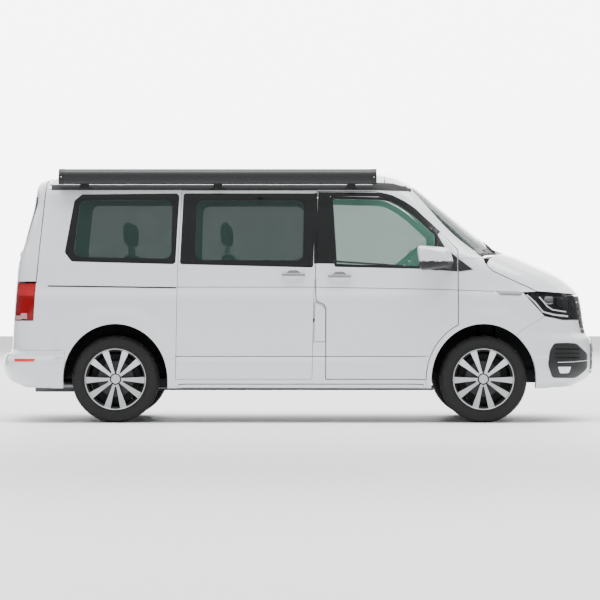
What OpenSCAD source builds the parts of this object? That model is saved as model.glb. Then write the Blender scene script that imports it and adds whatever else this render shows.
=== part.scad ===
// Camper van with a pop-top roof, side awning and three rows of seats.
// Millimetres. +X is forward, +Y is the van's left, +Z is up. The origin is on the
// ground, under the middle of the wheelbase.

/* [Overall] */
// Distance between the front and rear axles
wheelbase = 3000; // [2500:10:3600]
// Width of the body at its widest, along the lower step
body_w = 1904; // [1600:2:2300]
// Height of the windscreen's top edge above the ground
header_z = 1937; // [1750:1:2350]
// Rise of the roof's crown above the windscreen's top edge
crown_h = 127; // [90:1:170]
// Length of the nose ahead of the front axle
nose_l = 952; // [800:1:1150]
// Length of the tail behind the rear axle
tail_l = 952; // [800:1:1150]

/* [Body walls] */
// Thickness of a door, a pillar or a side wall
wall = 60; // [50:1:80]
// Depth of the outer skin's step around each door
rebate = 20; // [15:1:25]
// Gap between two outer panels
shut_gap = 6; // [5:0.5:8]
// Gap between a door's inner body and its frame
inner_gap = 15; // [12:1:20]
// Thickness of the window panes
glass_t = 6; // [4:0.5:8]
// Height of the window sill line at the rear
belt_rear_z = 1312; // [1250:1:1400]
// Height of the window sill line at the windscreen
belt_front_z = 1238; // [1180:1:1300]

/* [Wheels] */
// Outer diameter of the tyres
tyre_d = 710; // [600:2:740]
// Width of the tyres
tyre_w = 225; // [185:5:245]
// Diameter of the rims over their flanges
rim_d = 500; // [420:2:520]
// Distance from the middle plane to the middle of a wheel
half_track = 806; // [700:1:960]
// Radius of the wheel arches along the body
arch_r = 425; // [380:1:440]
// Distance from the middle plane to a kingpin
kingpin_y = 722; // [640:1:860]
// Radius of the hub flanges
hub_r = 75; // [60:1:90]

/* [Awning] */
// Length of the awning case
awning_l = 2594; // [2000:2:2900]
// Height of the awning case
awning_h = 130; // [100:1:150]
// Depth of the awning case
awning_d = 112; // [90:1:130]

/* [Cabin] */
// Height of the floor's top face
floor_z = 392; // [370:1:420]
// Width of one seat
seat_w = 500; // [440:5:540]
// Height of a seat's headrest top above the floor
seat_h = 1275; // [1100:5:1300]
// Radius of the steering wheel
wheel_r = 185; // [160:1:200]

/* [Hidden] */

$fn = 48;
eps = 0.3;
front_x = wheelbase / 2;
rear_x = -wheelbase / 2;
half_w = body_w / 2;
hub_z = tyre_d / 2;
door_low_z = 355;
cowl_z = 1400;
gutter_z = header_z - 32;
lid_z = header_z + 5;
top_z = header_z + crown_h;
white = "#edf0f4";
black = "#2b2d2d";
dark = "#454547";
steel = "#7c7f82";

// Centre line of the nose: height, distance ahead of the front axle
nose_line = [
    [285, nose_l - 173], [347, nose_l - 57], [415, nose_l], [573, nose_l], [682, nose_l - 18],
    [723, nose_l - 57], [1037, nose_l - 115], [1075, nose_l - 144], [1124, nose_l - 193],
    [1185, nose_l - 270], [1238, nose_l - 367], [1281, nose_l - 464], [1325, nose_l - 561],
    [1372, nose_l - 678], [cowl_z, nose_l - 793],
    [header_z, nose_l - 1488], [header_z + crown_h * 0.26, nose_l - 1540],
    [header_z + crown_h * 0.64, nose_l - 1625], [header_z + crown_h * 0.93, nose_l - 1760],
    [top_z, nose_l - 2050]
];
// Centre line of the tail: height, distance behind the rear axle
tail_line = [
    [285, tail_l - 157], [343, tail_l - 48], [457, tail_l], [560, tail_l - 17],
    [586, tail_l - 67], [781, tail_l - 78], [1148, tail_l - 104], [1251, tail_l - 112],
    [1363, tail_l - 137], [1450, tail_l - 164], [1610, tail_l - 205],
    [header_z - 168, tail_l - 246], [header_z - 6, tail_l - 272],
    [header_z + crown_h * 0.26, tail_l - 290], [header_z + crown_h * 0.42, tail_l - 335],
    [header_z + crown_h * 0.60, tail_l - 405], [header_z + crown_h * 0.80, tail_l - 540],
    [top_z, tail_l - 900]
];
// Half width of the body: height, distance in from the widest point
side_line = [
    [285, 62], [315, 37], [355, 24], [490, 0], [530, 0], [546, 9], [700, 6], [1010, 1],
    [1040, 5], [1075, 17], [1105, 24], [1275, 46], [1450, 70], [1610, 96],
    [header_z - 167, 128], [header_z - 67, 150], [header_z - 32, 165], [header_z, 187],
    [header_z + crown_h * 0.20, 222], [header_z + crown_h * 0.42, 275],
    [header_z + crown_h * 0.64, 350], [header_z + crown_h * 0.85, 480], [top_z, 640]
];
// Length of the rounded plan corners: height, length at the nose, at the tail
nose_round = [[285, 620], [1040, 640], [1372, 560], [cowl_z, 520], [header_z, 265],
              [top_z, 330]];
tail_round = [[285, 300], [1100, 260], [header_z, 240], [top_z, 420]];
nose_power = [[285, 2.7], [1100, 2.5], [cowl_z, 2.5], [header_z, 2.9], [top_z, 2.6]];
tail_power = 3.6;
// Heights at which the body's plan outline is drawn
LEVELS = [
    285, 315, 347, 415, 490, 530, 546, 586, 682, 723, 1010, 1040, 1075, 1105, 1124,
    1185, 1238, 1281, 1325, 1372, cowl_z, 1500, 1610, header_z - 167, header_z - 67,
    header_z - 32, header_z,
    header_z + crown_h * 0.2, header_z + crown_h * 0.42, header_z + crown_h * 0.64,
    header_z + crown_h * 0.85, top_z
];
CORNER_STEPS = 8;

function pw(v, p) = sign(v) * pow(abs(v), p);

// Plan outline of the body at height z, shrunk by depth
function ring(z, depth) =
    let (w = half_w - lookup(z, side_line) - depth,
         xf = front_x + lookup(z, nose_line) - depth * 1.3,
         xr = rear_x - lookup(z, tail_line) + depth,
         lf = lookup(z, nose_round), lr = lookup(z, tail_round),
         pf = 2 / lookup(z, nose_power), pr = 2 / tail_power)
    concat(
        [for (i = [-CORNER_STEPS:CORNER_STEPS])
            let (a = 90 * i / CORNER_STEPS)
            [xf - lf + lf * pow(cos(a), pf), w * pw(sin(a), pf)]],
        [for (i = [CORNER_STEPS:-1:-CORNER_STEPS])
            let (a = 90 * i / CORNER_STEPS)
            [xr + lr - lr * pow(cos(a), pr), w * pw(sin(a), pr)]]
    );

// The same outline as points in space; a shrunk shape is open below the floor line
function ring_height(j, depth) = LEVELS[j] - (j == 0 && depth > 0 ? 20 : 0)
    - (LEVELS[j] > header_z ? depth * 0.9 : 0);
function ring_points(j, depth) =
    [for (p = ring(LEVELS[j], depth)) [p[0], p[1], ring_height(j, depth)]];

// Closed body shape, shrunk by depth, as a stack of slices
module form(depth) {
    n = len(ring(LEVELS[0], 0));
    for (j = [0:len(LEVELS) - 2])
        hull() polyhedron(
            concat(ring_points(j, depth), ring_points(j + 1, depth)),
            [[for (k = [0:n - 1]) k], [for (k = [0:n - 1]) n + k]]);
}

module skin(depth_0, depth_1) {
    difference() {
        form(depth_0);
        form(depth_1);
    }
}

// Extrudes a side view outline (x, z) from y0 to y1
module slab(y0, y1) {
    translate([0, y1, 0]) rotate([90, 0, 0]) linear_extrude(y1 - y0) children();
}

module box(low, high) {
    translate(low) cube([high[0] - low[0], high[1] - low[1], high[2] - low[2]]);
}

// One fixed wall panel on one side (-1 right, 1 left)
module panel(side, y_min = 0, thick = wall) {
    intersection() {
        skin(0, thick);
        slab(side < 0 ? -1300 : y_min, side < 0 ? -y_min : 1300) children();
    }
}

// A door: its outer skin reaches to the shut gap, its body is narrower behind the rebate
module door_panel(y0, y1, thick = wall) {
    difference() {
        intersection() {
            skin(0, thick);
            slab(y0, y1) offset(delta = -shut_gap / 2) children();
        }
        intersection() {
            form(rebate);
            slab(y0 - 1, y1 + 1) difference() {
                offset(delta = 5) children();
                offset(delta = -inner_gap / 2) children();
            }
        }
    }
}

// ---- side view outlines ----
module soft(r) { offset(r = r) offset(delta = -r) children(); }

function belt(x) = belt_rear_z + (belt_front_z - belt_rear_z) * (x - rear_x + 355) / 3042;

door_rear_x = front_x - 1352;   // rear edge of the front door, at the window
door_front_x = front_x - 208;   // front edge of the front door
slide_rear_x = front_x - 2461;  // rear edge of the sliding door, at the window
flap_z0 = 660;
flap_z1 = 985;
glass_top_z = header_z - 67;
door_arch_r = arch_r + 45;
door_top_z = header_z - 48;
pillar_foot_z = 1338;

module front_door_outline() {
    difference() {
        polygon([
            [door_rear_x, door_top_z], [front_x - 887, door_top_z],
            [front_x - 747, header_z - 80], [front_x - 653, header_z - 126],
            [front_x - 560, header_z - 186], [front_x - 466, header_z - 268],
            [front_x - 372, header_z - 356], [front_x - 279, header_z - 443],
            [front_x - 232, header_z - 499], [door_front_x, header_z - 530],
            [door_front_x, door_low_z], [door_rear_x + 66, door_low_z], [door_rear_x + 68, 933],
            [door_rear_x + 50, 965], [door_rear_x - 12, flap_z1 + 8], [door_rear_x - 18, 1180]
        ]);
        arch(front_x, door_arch_r);
    }
}

module sliding_door_outline() {
    polygon([
        [slide_rear_x, door_top_z + 10], [slide_rear_x - 32, 1286], [slide_rear_x - 49, door_low_z],
        [door_rear_x - 46, door_low_z], [door_rear_x - 30, 1090], [door_rear_x - 18, 1180],
        [door_rear_x, door_top_z + 10]
    ]);
}

module arch(x, r) {
    translate([x, hub_z]) scale([1, (r + 25) / r]) circle(r = r, $fn = 64);
    translate([x - r, -200]) square([2 * r, hub_z + 200]);
}

bonnet_low = [
    [front_x - 3, pillar_foot_z + 4], [front_x + 35, 1275], [front_x + 82, 1233],
    [front_x + 231, 1164], [front_x + 362, 1105], [front_x + 430, 1070],
    [front_x + 820, 1040], [front_x + nose_l + 200, 1036]
];

module bonnet_outline() {
    polygon(concat(bonnet_low, [
        [front_x + nose_l + 200, 1800], [front_x + 300, 1800], [front_x + 20, cowl_z],
        [front_x - 3, pillar_foot_z + 30]
    ]));
}

module headlamp_outline() {
    polygon([
        [front_x + 316, 1064], [front_x + 430, 1066], [front_x + 820, 1036],
        [front_x + nose_l + 100, 1032], [front_x + nose_l + 100, 838], [front_x + 655, 838],
        [front_x + 493, 870]
    ]);
}

module front_bumper_outline() {
    difference() {
        polygon([
            [front_x + 250, 700], [front_x + 316, 760], [front_x + 493, 866],
            [front_x + 655, 834], [front_x + nose_l + 100, 834],
            [front_x + nose_l + 100, 200], [front_x + 250, 200]
        ]);
        arch(front_x, arch_r);
    }
}

module wing_outline() {
    difference() {
        polygon(concat(
            [[front_x - 560, 200], [front_x - 560, 800], [door_front_x, 800],
             [door_front_x, pillar_foot_z], [front_x - 3, pillar_foot_z]],
            bonnet_low,
            [[front_x + nose_l + 200, 200]]));
        front_door_outline();
        headlamp_outline();
        front_bumper_outline();
        bonnet_outline();
        arch(front_x, arch_r);
        translate([front_x - 560, 0]) square([560 - door_arch_r, 900]);
    }
}

module rear_bumper_outline() {
    difference() {
        polygon([[rear_x - 412, 200], [rear_x - 412, 591], [rear_x - 1300, 591],
                 [rear_x - 1300, 200]]);
        arch(rear_x, arch_r);
    }
}

// Side line between the body and the tailgate, from the roof down to the lamps
gate_line = [[rear_x - 540, header_z + 120], [rear_x - 555, header_z + 73],
             [rear_x - 570, header_z + 11], [rear_x - 645, 1149]];
module tailgate_wrap_outline() {
    polygon(concat(gate_line, [[rear_x - 1200, 1149], [rear_x - 1200, header_z + 120]]));
}
module tailgate_low_outline() {
    polygon([[rear_x - 645, 1160], [rear_x - 645, 606], [rear_x - 1200, 606],
             [rear_x - 1200, 1160]]);
}
module tail_lamp_outline() {
    polygon([[rear_x - 645, 1138], [rear_x - 665, 832], [rear_x - 1200, 832],
             [rear_x - 1200, 1138]]);
}
lamp_y = half_w - 262;   // inner edge of the tail lamps
grille_y = half_w - 392; // outer edge of the grille

module windscreen_outline() {
    polygon([
        [front_x - 583 + 12, header_z - 61 + 16], [front_x - 12, pillar_foot_z + 6],
        [front_x + 40, cowl_z - 16], [front_x + 220, cowl_z - 16],
        [front_x + 220, header_z - 14], [front_x - 583 + 12, header_z - 14]
    ]);
}

// All that belongs to the body side, seen from the side
module body_side_outline() {
    difference() {
        polygon([[rear_x - 1200, 200], [rear_x - 1200, gutter_z], [front_x + 600, gutter_z],
                 [front_x + 600, pillar_foot_z], [front_x - 3, pillar_foot_z],
                 [door_front_x, pillar_foot_z], [door_front_x, 800],
                 [front_x - door_arch_r, 800], [front_x - door_arch_r, 200]]);
        front_door_outline();
        windscreen_outline();
        bonnet_outline();
        rear_bumper_outline();
        tail_lamp_outline();
        arch(rear_x, arch_r);
        arch(front_x, arch_r);
    }
}

module quarter_pane_outline() {
    soft(30) polygon([
        [rear_x - 278, glass_top_z - 8], [rear_x - 340, glass_top_z - 60],
        [rear_x - 414, 1387], [rear_x - 357, belt(rear_x - 357)],
        [slide_rear_x - 50, belt(slide_rear_x)], [slide_rear_x - 20, glass_top_z]
    ]);
}
module quarter_hole_outline() {
    soft(60) polygon([
        [rear_x - 290, 1816], [rear_x - 345, 1352], [slide_rear_x - 84, 1335],
        [slide_rear_x - 78, 1816]
    ]);
}
module slide_pane_outline() {
    soft(20) polygon([
        [slide_rear_x + 14, glass_top_z], [slide_rear_x - 14, belt(slide_rear_x)],
        [door_rear_x - 36, belt(door_rear_x)], [door_rear_x - 18, glass_top_z]
    ]);
}
module slide_hole_outline() {
    soft(60) polygon([
        [slide_rear_x + 125, 1811], [slide_rear_x + 110, 1325], [door_rear_x - 120, 1322],
        [door_rear_x - 112, 1811]
    ]);
}
module door_pane_outline() {
    soft(16) polygon([
        [door_rear_x + 102, glass_top_z - 22], [front_x - 840, glass_top_z - 31],
        [front_x - 747, header_z - 112], [front_x - 653, header_z - 162],
        [front_x - 560, header_z - 231], [front_x - 466, header_z - 315],
        [front_x - 377, header_z - 398], [front_x - 377, belt_front_z + 12],
        [door_rear_x + 137, belt(door_rear_x) + 6]
    ]);
}
module door_hole_outline() { offset(delta = -22) door_pane_outline(); }

// Cuts a flush seat for a pane and the hole behind it
module pane_seat(side) {
    difference() {
        slab(side < 0 ? -1300 : 0, side < 0 ? 0 : 1300) children(0);
        form(glass_t + eps);
    }
    slab(side < 0 ? -1300 : 0, side < 0 ? 0 : 1300) children(1);
}
module pane(side) {
    intersection() {
        skin(0, glass_t);
        slab(side < 0 ? -1300 : 0, side < 0 ? 0 : 1300) offset(delta = -eps) children();
    }
}

// ---- body ----
module body_side(side) {
    color(white) difference() {
        panel(side) difference() {
            body_side_outline();
            offset(delta = shut_gap / 2) tailgate_wrap_outline();
            if (side < 0) sliding_door_outline();
        }
        // rear opening between the lamps
        box([rear_x - 1300, -lamp_y, 0], [rear_x - 640, lamp_y, 1149]);
        box([rear_x - 1300, -half_w, 1138], [rear_x - 640, half_w, 1152]);
        // room for the doors' inner bodies
        slab(side < 0 ? -1300 : 0, side < 0 ? 0 : 1300)
            offset(delta = shut_gap / 2) front_door_outline();
        pane_seat(side) {
            quarter_pane_outline();
            quarter_hole_outline();
        }
        if (side > 0) pane_seat(side) {
            slide_pane_outline();
            slide_hole_outline();
        }
        if (side < 0) flap_cut();
    }
}

module body_side_right() { body_side(-1); }
module body_side_left() { body_side(1); }

module front_door(side) {
    color(white) difference() {
        door_panel(side < 0 ? -1300 : 0, side < 0 ? 0 : 1300) front_door_outline();
        pane_seat(side) {
            door_pane_outline();
            door_hole_outline();
        }
    }
}
module front_door_right() { front_door(-1); }
module front_door_left() { front_door(1); }

module sliding_door() {
    color(white) difference() {
        panel(-1) sliding_door_outline();
        pane_seat(-1) {
            slide_pane_outline();
            slide_hole_outline();
        }
    }
}

module flap_outline() {
    polygon([
        [door_rear_x - 31, flap_z0], [door_rear_x - 23, flap_z1 - 3],
        [door_rear_x + 30, flap_z1 - 25], [door_rear_x + 64, 925], [door_rear_x + 63, flap_z0]
    ]);
}
module flap_cut() {
    difference() {
        slab(-1300, 0) offset(delta = shut_gap / 2) flap_outline();
        form(rebate + 2);
    }
}
module fuel_flap() {
    color(white) intersection() {
        skin(0, rebate - 4);
        slab(-1300, 0) offset(delta = -shut_gap / 2) flap_outline();
    }
}

module tailgate_blank(inset) {
    slab(-1300, 1300) offset(delta = -inset) tailgate_wrap_outline();
    slab(-lamp_y + inset, lamp_y - inset) offset(delta = -inset) tailgate_low_outline();
}
module tailgate() {
    color(white) difference() {
        intersection() {
            skin(0, wall);
            tailgate_blank(shut_gap / 2);
        }
        intersection() {
            form(rebate);
            difference() {
                tailgate_blank(-5);
                tailgate_blank(inner_gap / 2);
            }
        }
        difference() {
            box([rear_x - 1300, -710, 1290], [rear_x - 645, 710, header_z - 90]);
            form(glass_t + eps);
        }
        box([rear_x - 1300, -600, 1350], [rear_x - 560, 600, header_z - 130]);
    }
}

module tailgate_glass() {
    color("#353d3a") intersection() {
        skin(0, glass_t);
        box([rear_x - 1300, -710 + eps, 1290 + eps],
            [rear_x - 645 - eps, 710 - eps, header_z - 90 - eps]);
    }
}

// ---- front end ----
module bonnet_rear_cut(grow) {
    translate([0, 0, 1000]) linear_extrude(900)
        polygon(concat(
            [for (i = [-12:12]) [front_x + 262 - grow - 268 * pow(i / 12, 2), half_w * i / 12]],
            [[front_x - 900, half_w + 50], [front_x - 900, -half_w - 50]]));
}
module bonnet() {
    color(white) difference() {
        door_panel(-1300, 1300, 34) bonnet_outline();
        bonnet_rear_cut(-3);
    }
}

module front_wings() {
    color(white) for (side = [-1, 1]) difference() {
        panel(side, grille_y) wing_outline();
        slab(-1300, 1300) offset(delta = shut_gap / 2) front_door_outline();
        slab(-1300, 1300) offset(delta = shut_gap / 2) bonnet_outline();
    }
}

module front_bumper() {
    color(white) difference() {
        intersection() {
            skin(0, wall);
            slab(-1300, 1300) front_bumper_outline();
        }
        box([front_x + 300, -grille_y, 723], [front_x + 1300, grille_y, 900]);
    }
}

module rear_bumper() {
    color(white) intersection() {
        skin(0, wall);
        slab(-1300, 1300) rear_bumper_outline();
    }
}

module grille() {
    color(black) intersection() {
        skin(4, 40);
        box([front_x + 400, -grille_y, 723], [front_x + 1300, grille_y, 1030]);
    }
}

module headlamps() {
    color("#b9bec2") for (side = [-1, 1]) panel(side, grille_y) headlamp_outline();
}

module tail_lamps() {
    color("#b01820") for (side = [-1, 1]) panel(side, lamp_y) tail_lamp_outline();
}

module windscreen() {
    color("#353d3a") intersection() {
        skin(0, glass_t);
        slab(-1300, 1300) offset(delta = -eps) windscreen_outline();
    }
}

// ---- roof ----
lid_front_x = front_x - 806;
lid_rear_x = rear_x - 535;
module lid_outline(grow) {
    polygon([
        [lid_rear_x - 2 * grow, lid_z - grow],
        [lid_rear_x - 2 * grow + (grow > 0 ? 0 : 60), top_z + 40],
        [lid_front_x + grow + 16, top_z + 40], [lid_front_x + grow - 4, lid_z - grow]
    ]);
}
module pop_top_roof() {
    color(white) intersection() {
        skin(0, 36);
        slab(-1300, 1300) lid_outline(0);
    }
}
module roof_frame() {
    color(white) difference() {
        union() {
            // skin of the fixed roof ahead of, beside and behind the lid
            intersection() {
                skin(0, wall);
                slab(-1300, 1300) difference() {
                    polygon([[rear_x - 1200, gutter_z], [front_x + 600, gutter_z],
                             [front_x + 600, top_z + 40], [rear_x - 1200, top_z + 40]]);
                    windscreen_outline();
                    lid_outline(shut_gap);
                }
            }
            // deck around the roof opening
            intersection() {
                form(wall - 4);
                box([rear_x - 590, -half_w, gutter_z + 4], [front_x - 560, half_w, gutter_z + 24]);
            }
        }
        slab(-1300, 1300) offset(delta = shut_gap / 2) tailgate_wrap_outline();
        box([rear_x + 120, -510, gutter_z - 9], [front_x - 960, 510, gutter_z + 60]);
    }
}

// ---- glass ----
module side_glass() {
    color("#353d3a") {
        for (side = [-1, 1]) {
            pane(side) quarter_pane_outline();
            pane(side) slide_pane_outline();
        }
    }
}
module door_glass_right() { color("#353d3a") pane(-1) door_pane_outline(); }
module door_glass_left() { color("#353d3a") pane(1) door_pane_outline(); }

// ---- mirrors ----
module mirror(side) {
    color(dark) scale([1, side, 1]) difference() {
        union() {
        hull() {
            for (p = [[front_x - 500, 1268], [front_x - 520, 1420], [front_x - 300, 1400],
                      [front_x - 270, 1290]])
                translate([p[0], half_w + 36, p[1]]) sphere(r = 26, $fn = 20);
            for (p = [[front_x - 500, 1275], [front_x - 515, 1410], [front_x - 350, 1380],
                      [front_x - 330, 1300]])
                translate([p[0], half_w + 165, p[1]]) sphere(r = 24, $fn = 20);
        }
        hull() {
            translate([front_x - 330, half_w + 30, 1290]) sphere(r = 22, $fn = 20);
            translate([front_x - 255, half_w - 62, 1258])
                cylinder(r = 34, h = 26, center = true, $fn = 20);
        }
        }
        form(-eps);
    }
}
module mirror_right() { mirror(-1); }
module mirror_left() { mirror(1); }

// ---- floor and structure ----
liner_r = arch_r + 14;
liner_t = 6;
housing_in = 560;      // inner wall of the rear wheel housings
front_housing_in = 480; // inner wall of the front wheel housings
floor_t = 40;
bulkhead_x = front_x - 60;

// Shell over one pair of wheels; only the part above the floor line
module housings(x, y_in, x_min, x_max) {
    for (side = [-1, 1]) scale([1, side, 1]) intersection() {
        form(wall + eps);
        translate([x_min, 0, floor_z - 2]) cube([x_max - x_min, 2 * half_w, 700]);
        slab(y_in, half_w) arch(x, liner_r + liner_t);
    }
}
module housing_voids(x, y_in) {
    for (side = [-1, 1]) scale([1, side, 1])
        slab(y_in + liner_t, 1300) arch(x, liner_r);
}
module floor_pan() {
    color("#55595d") difference() {
        union() {
            intersection() {
                form(wall + eps);
                box([rear_x - 880, -half_w, floor_z - floor_t], [bulkhead_x, half_w, floor_z]);
            }
            housings(rear_x, housing_in, rear_x - 600, rear_x + 600);
            housings(front_x, front_housing_in, front_x - 600, bulkhead_x);
        }
        housing_voids(rear_x, housing_in);
        housing_voids(front_x, front_housing_in);
    }
}

module bulkhead() {
    color("#55595d") difference() {
        union() {
            intersection() {
                form(wall + eps);
                union() {
                    box([bulkhead_x, -half_w, floor_z - floor_t],
                        [bulkhead_x + 30, half_w, cowl_z - 60]);
                    // scuttle under the wipers
                    box([bulkhead_x, -half_w, cowl_z - 90],
                        [bulkhead_x + 200, half_w, cowl_z - 60]);
                }
            }
            housings(front_x, front_housing_in, bulkhead_x, front_x + 600);
        }
        housing_voids(front_x, front_housing_in);
        // the inner side of the front housings is open for the steering and the shafts
        for (side = [-1, 1]) scale([1, side, 1]) intersection() {
            slab(front_housing_in - 1, front_housing_in + liner_t + 1) arch(front_x, liner_r);
            translate([bulkhead_x + 30, 0, 0]) cube([600, 1300, 1300]);
        }
    }
}

module dashboard() {
    color("#3a3c3e") {
        intersection() {
            form(wall + 30);
            slab(-half_w, half_w) soft(25) polygon([
                [front_x - 430, 1190], [front_x - 400, 1262], [front_x - 200, 1290],
                [bulkhead_x, 1285], [bulkhead_x, 820], [front_x - 200, 820],
                [front_x - 330, 960]
            ]);
        }
        // steering column shroud
        translate(sw_hub) rotate([0, -sw_tilt, 0])
            translate([0, 0, -330]) cylinder(r = 34, h = 330 - column_l - eps);
    }
}

sw_hub = [front_x - 605, 400, 1345];
sw_tilt = 39;
column_l = 150;
module steering_wheel() {
    color("#2b2b2c") translate(sw_hub) rotate([0, -sw_tilt, 0]) {
        rotate_extrude($fn = 64) translate([wheel_r - 14, 0]) circle(r = 14, $fn = 20);
        translate([0, 0, -30]) cylinder(r = 55, h = 34);
        for (a = [0, 120, 240]) rotate([0, 0, a])
            translate([40, -16, -10]) cube([wheel_r - 48, 32, 12]);
        // column end, clear of the dashboard's shroud
        translate([0, 0, -column_l]) cylinder(r = 22, h = column_l - 25);
    }
}

// ---- seats ----
module seat(x, w) {
    translate([x, 0, floor_z]) {
        slab(-w / 2 + 60, w / 2 - 60) polygon([[0, 0], [420, 0], [430, 250], [-40, 250]]);
        slab(-w / 2, w / 2) soft(40) polygon([[-60, 249], [490, 249], [500, 420], [-20, 400]]);
        slab(-w / 2, w / 2) soft(40) polygon([[-90, 260], [40, 360], [-60, 1010], [-180, 1000]]);
        slab(-w / 2 + 110, w / 2 - 110) soft(30) polygon([
            [-80, 1045], [-95, seat_h], [-175, seat_h], [-175, 1045]]);
        for (y = [-60, 60]) translate([-125, y, 990]) cylinder(r = 7, h = 70);
    }
}
module front_seats() {
    color("#55585a") for (y = [-400, 400]) translate([0, y, 0]) seat(front_x - 1240, seat_w);
}
module middle_seats() {
    color("#55585a") for (y = [-420, 420]) translate([0, y, 0]) seat(rear_x + 1020, seat_w);
}
module rear_bench() {
    color("#55585a") translate([rear_x + 210, 0, floor_z]) {
        slab(-540, 540) polygon([[0, 0], [420, 0], [430, 250], [-40, 250]]);
        slab(-555, 555) soft(40) polygon([[-60, 249], [490, 249], [500, 420], [-20, 400]]);
        slab(-555, 555) soft(40) polygon([[-90, 260], [40, 360], [-60, 1010], [-180, 1000]]);
        for (y = [-370, 0, 370]) {
            translate([0, y, 0]) slab(-140, 140) soft(30) polygon([
                [-80, 1045], [-95, seat_h], [-175, seat_h], [-175, 1045]]);
            for (s = [-60, 60]) translate([-125, y + s, 990]) cylinder(r = 7, h = 70);
        }
    }
}

// ---- running gear ----
rail_z = 425;
hub_face = 42; // inner face of a rim's hub disc, out from the wheel's middle
module engine_block() {
    color(steel) box([front_x + 130, -330, rail_z], [front_x + 560, 330, 1020]);
}
module front_subframe() {
    color("#3c3e40") {
        box([front_x - 140, -400, 290], [front_x + 160, 400, 340]);
        for (side = [-1, 1]) {
            hull() {
                translate([front_x - 110, side * 380, 305]) cylinder(r = 28, h = 24);
                translate([front_x, side * (kingpin_y - 30), 250]) cylinder(r = 26, h = 20);
                translate([front_x + 120, side * 380, 305]) cylinder(r = 28, h = 24);
            }
            box([bulkhead_x + 30, side * 320 - 40, 339], [front_x + 720, side * 320 + 40, rail_z]);
            translate([front_x, side * kingpin_y, 250]) cylinder(r = 18, h = 30);
        }
    }
}
module knuckle(side) {
    color("#6a6d70") scale([1, side, 1]) {
        translate([front_x, kingpin_y, 280 + eps]) cylinder(r = 26, h = 160);
        translate([front_x, kingpin_y - 20, hub_z]) rotate([-90, 0, 0])
            cylinder(r = 45, h = half_track + hub_face - eps - kingpin_y + 20);
    }
}
module knuckle_right() { knuckle(-1); }
module knuckle_left() { knuckle(1); }

arm_y = 612; // middle of the rear trailing arms
module rear_axle() {
    color("#3c3e40") {
        for (side = [-1, 1]) {
            translate([rear_x, side * arm_y, hub_z]) rotate([-90 * side, 0, 0])
                cylinder(r = 45, h = half_track + hub_face - eps - arm_y);
            hull() {
                translate([rear_x, side * arm_y, hub_z]) rotate([90, 0, 0])
                    cylinder(r = 60, h = 50, center = true);
                translate([rear_x + 400, side * arm_y, 312]) rotate([90, 0, 0])
                    cylinder(r = 35, h = 50, center = true);
            }
            box([rear_x + 400, side * arm_y - 25, 300],
                [rear_x + liner_r + 70, side * arm_y + 25, floor_z - floor_t]);
        }
        box([rear_x - 60, -600, 290], [rear_x + 60, 600, 330]);
    }
}
module fuel_tank() {
    color("#2a2b2c") box([rear_x + 700, 60, 240], [rear_x + 1500, 620, floor_z - floor_t]);
}
pipe_y = -300;    // the exhaust runs right of the middle
pipe_z = 268;
pipe_r = 20;
silencer_r = 55;
module exhaust() {
    color("#8d9092") {
        translate([rear_x - 700, pipe_y, floor_z - floor_t - silencer_r - 8])
            rotate([0, 90, 0]) cylinder(r = silencer_r, h = 500);
        translate([rear_x - 201, pipe_y, pipe_z]) rotate([0, 90, 0])
            cylinder(r = pipe_r, h = wheelbase - 180);
        for (x = [rear_x - 650, rear_x - 300])
            box([x, pipe_y - 6, floor_z - floor_t - 20], [x + 30, pipe_y + 6, floor_z - floor_t]);
        for (x = [rear_x + 700, front_x - 500])
            box([x, pipe_y - 6, pipe_z + 12], [x + 20, pipe_y + 6, floor_z - floor_t]);
    }
}

// ---- wheels ----
module wheel_place(x, side) {
    translate([x, side * half_track, hub_z]) rotate([0, 0, side < 0 ? 180 : 0])
        rotate([-90, 0, 0]) children();
}
// local +Z points out of the body
module tyre(x, side) {
    hw = tyre_w / 2;
    color("#262624") wheel_place(x, side) rotate_extrude($fn = 96) polygon([
        [rim_d / 2 - 22, -hw + 20], [rim_d / 2 + 12, -hw + 4], [tyre_d / 2 - 55, -hw],
        [tyre_d / 2 - 14, -hw + 20], [tyre_d / 2 - 3, -hw + 46], [tyre_d / 2, -hw + 90],
        [tyre_d / 2, hw - 90], [tyre_d / 2 - 3, hw - 46], [tyre_d / 2 - 14, hw - 20],
        [tyre_d / 2 - 55, hw], [rim_d / 2 + 12, hw - 4], [rim_d / 2 - 22, hw - 20]
    ]);
}
module rim(x, side) {
    hw = tyre_w / 2;
    spoke_z = 62;
    color("#d6d6d6") wheel_place(x, side) {
        // barrel
        rotate_extrude($fn = 96) polygon([
            [rim_d / 2 - 40, -hw + 14], [rim_d / 2 - 24 + 1, -hw + 14],
            [rim_d / 2 - 23, hw - 19], [rim_d / 2 + 3, hw - 7],
            [rim_d / 2 - 2, hw - 1], [rim_d / 2 - 14, hw - 4], [rim_d / 2 - 40, hw - 30]
        ]);
        // hub disc
        translate([0, 0, hub_face]) cylinder(r = hub_r, h = 34);
        // ten spokes in five pairs
        for (k = [0:4], s = [-16, 16]) rotate([0, 0, 90 + 72 * k + s])
            translate([0, 0, spoke_z - 24]) linear_extrude(34)
                polygon([[hub_r - 20, -13], [rim_d / 2 - 30, -24], [rim_d / 2 - 30, 24],
                         [hub_r - 20, 13]]);
    }
}

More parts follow.
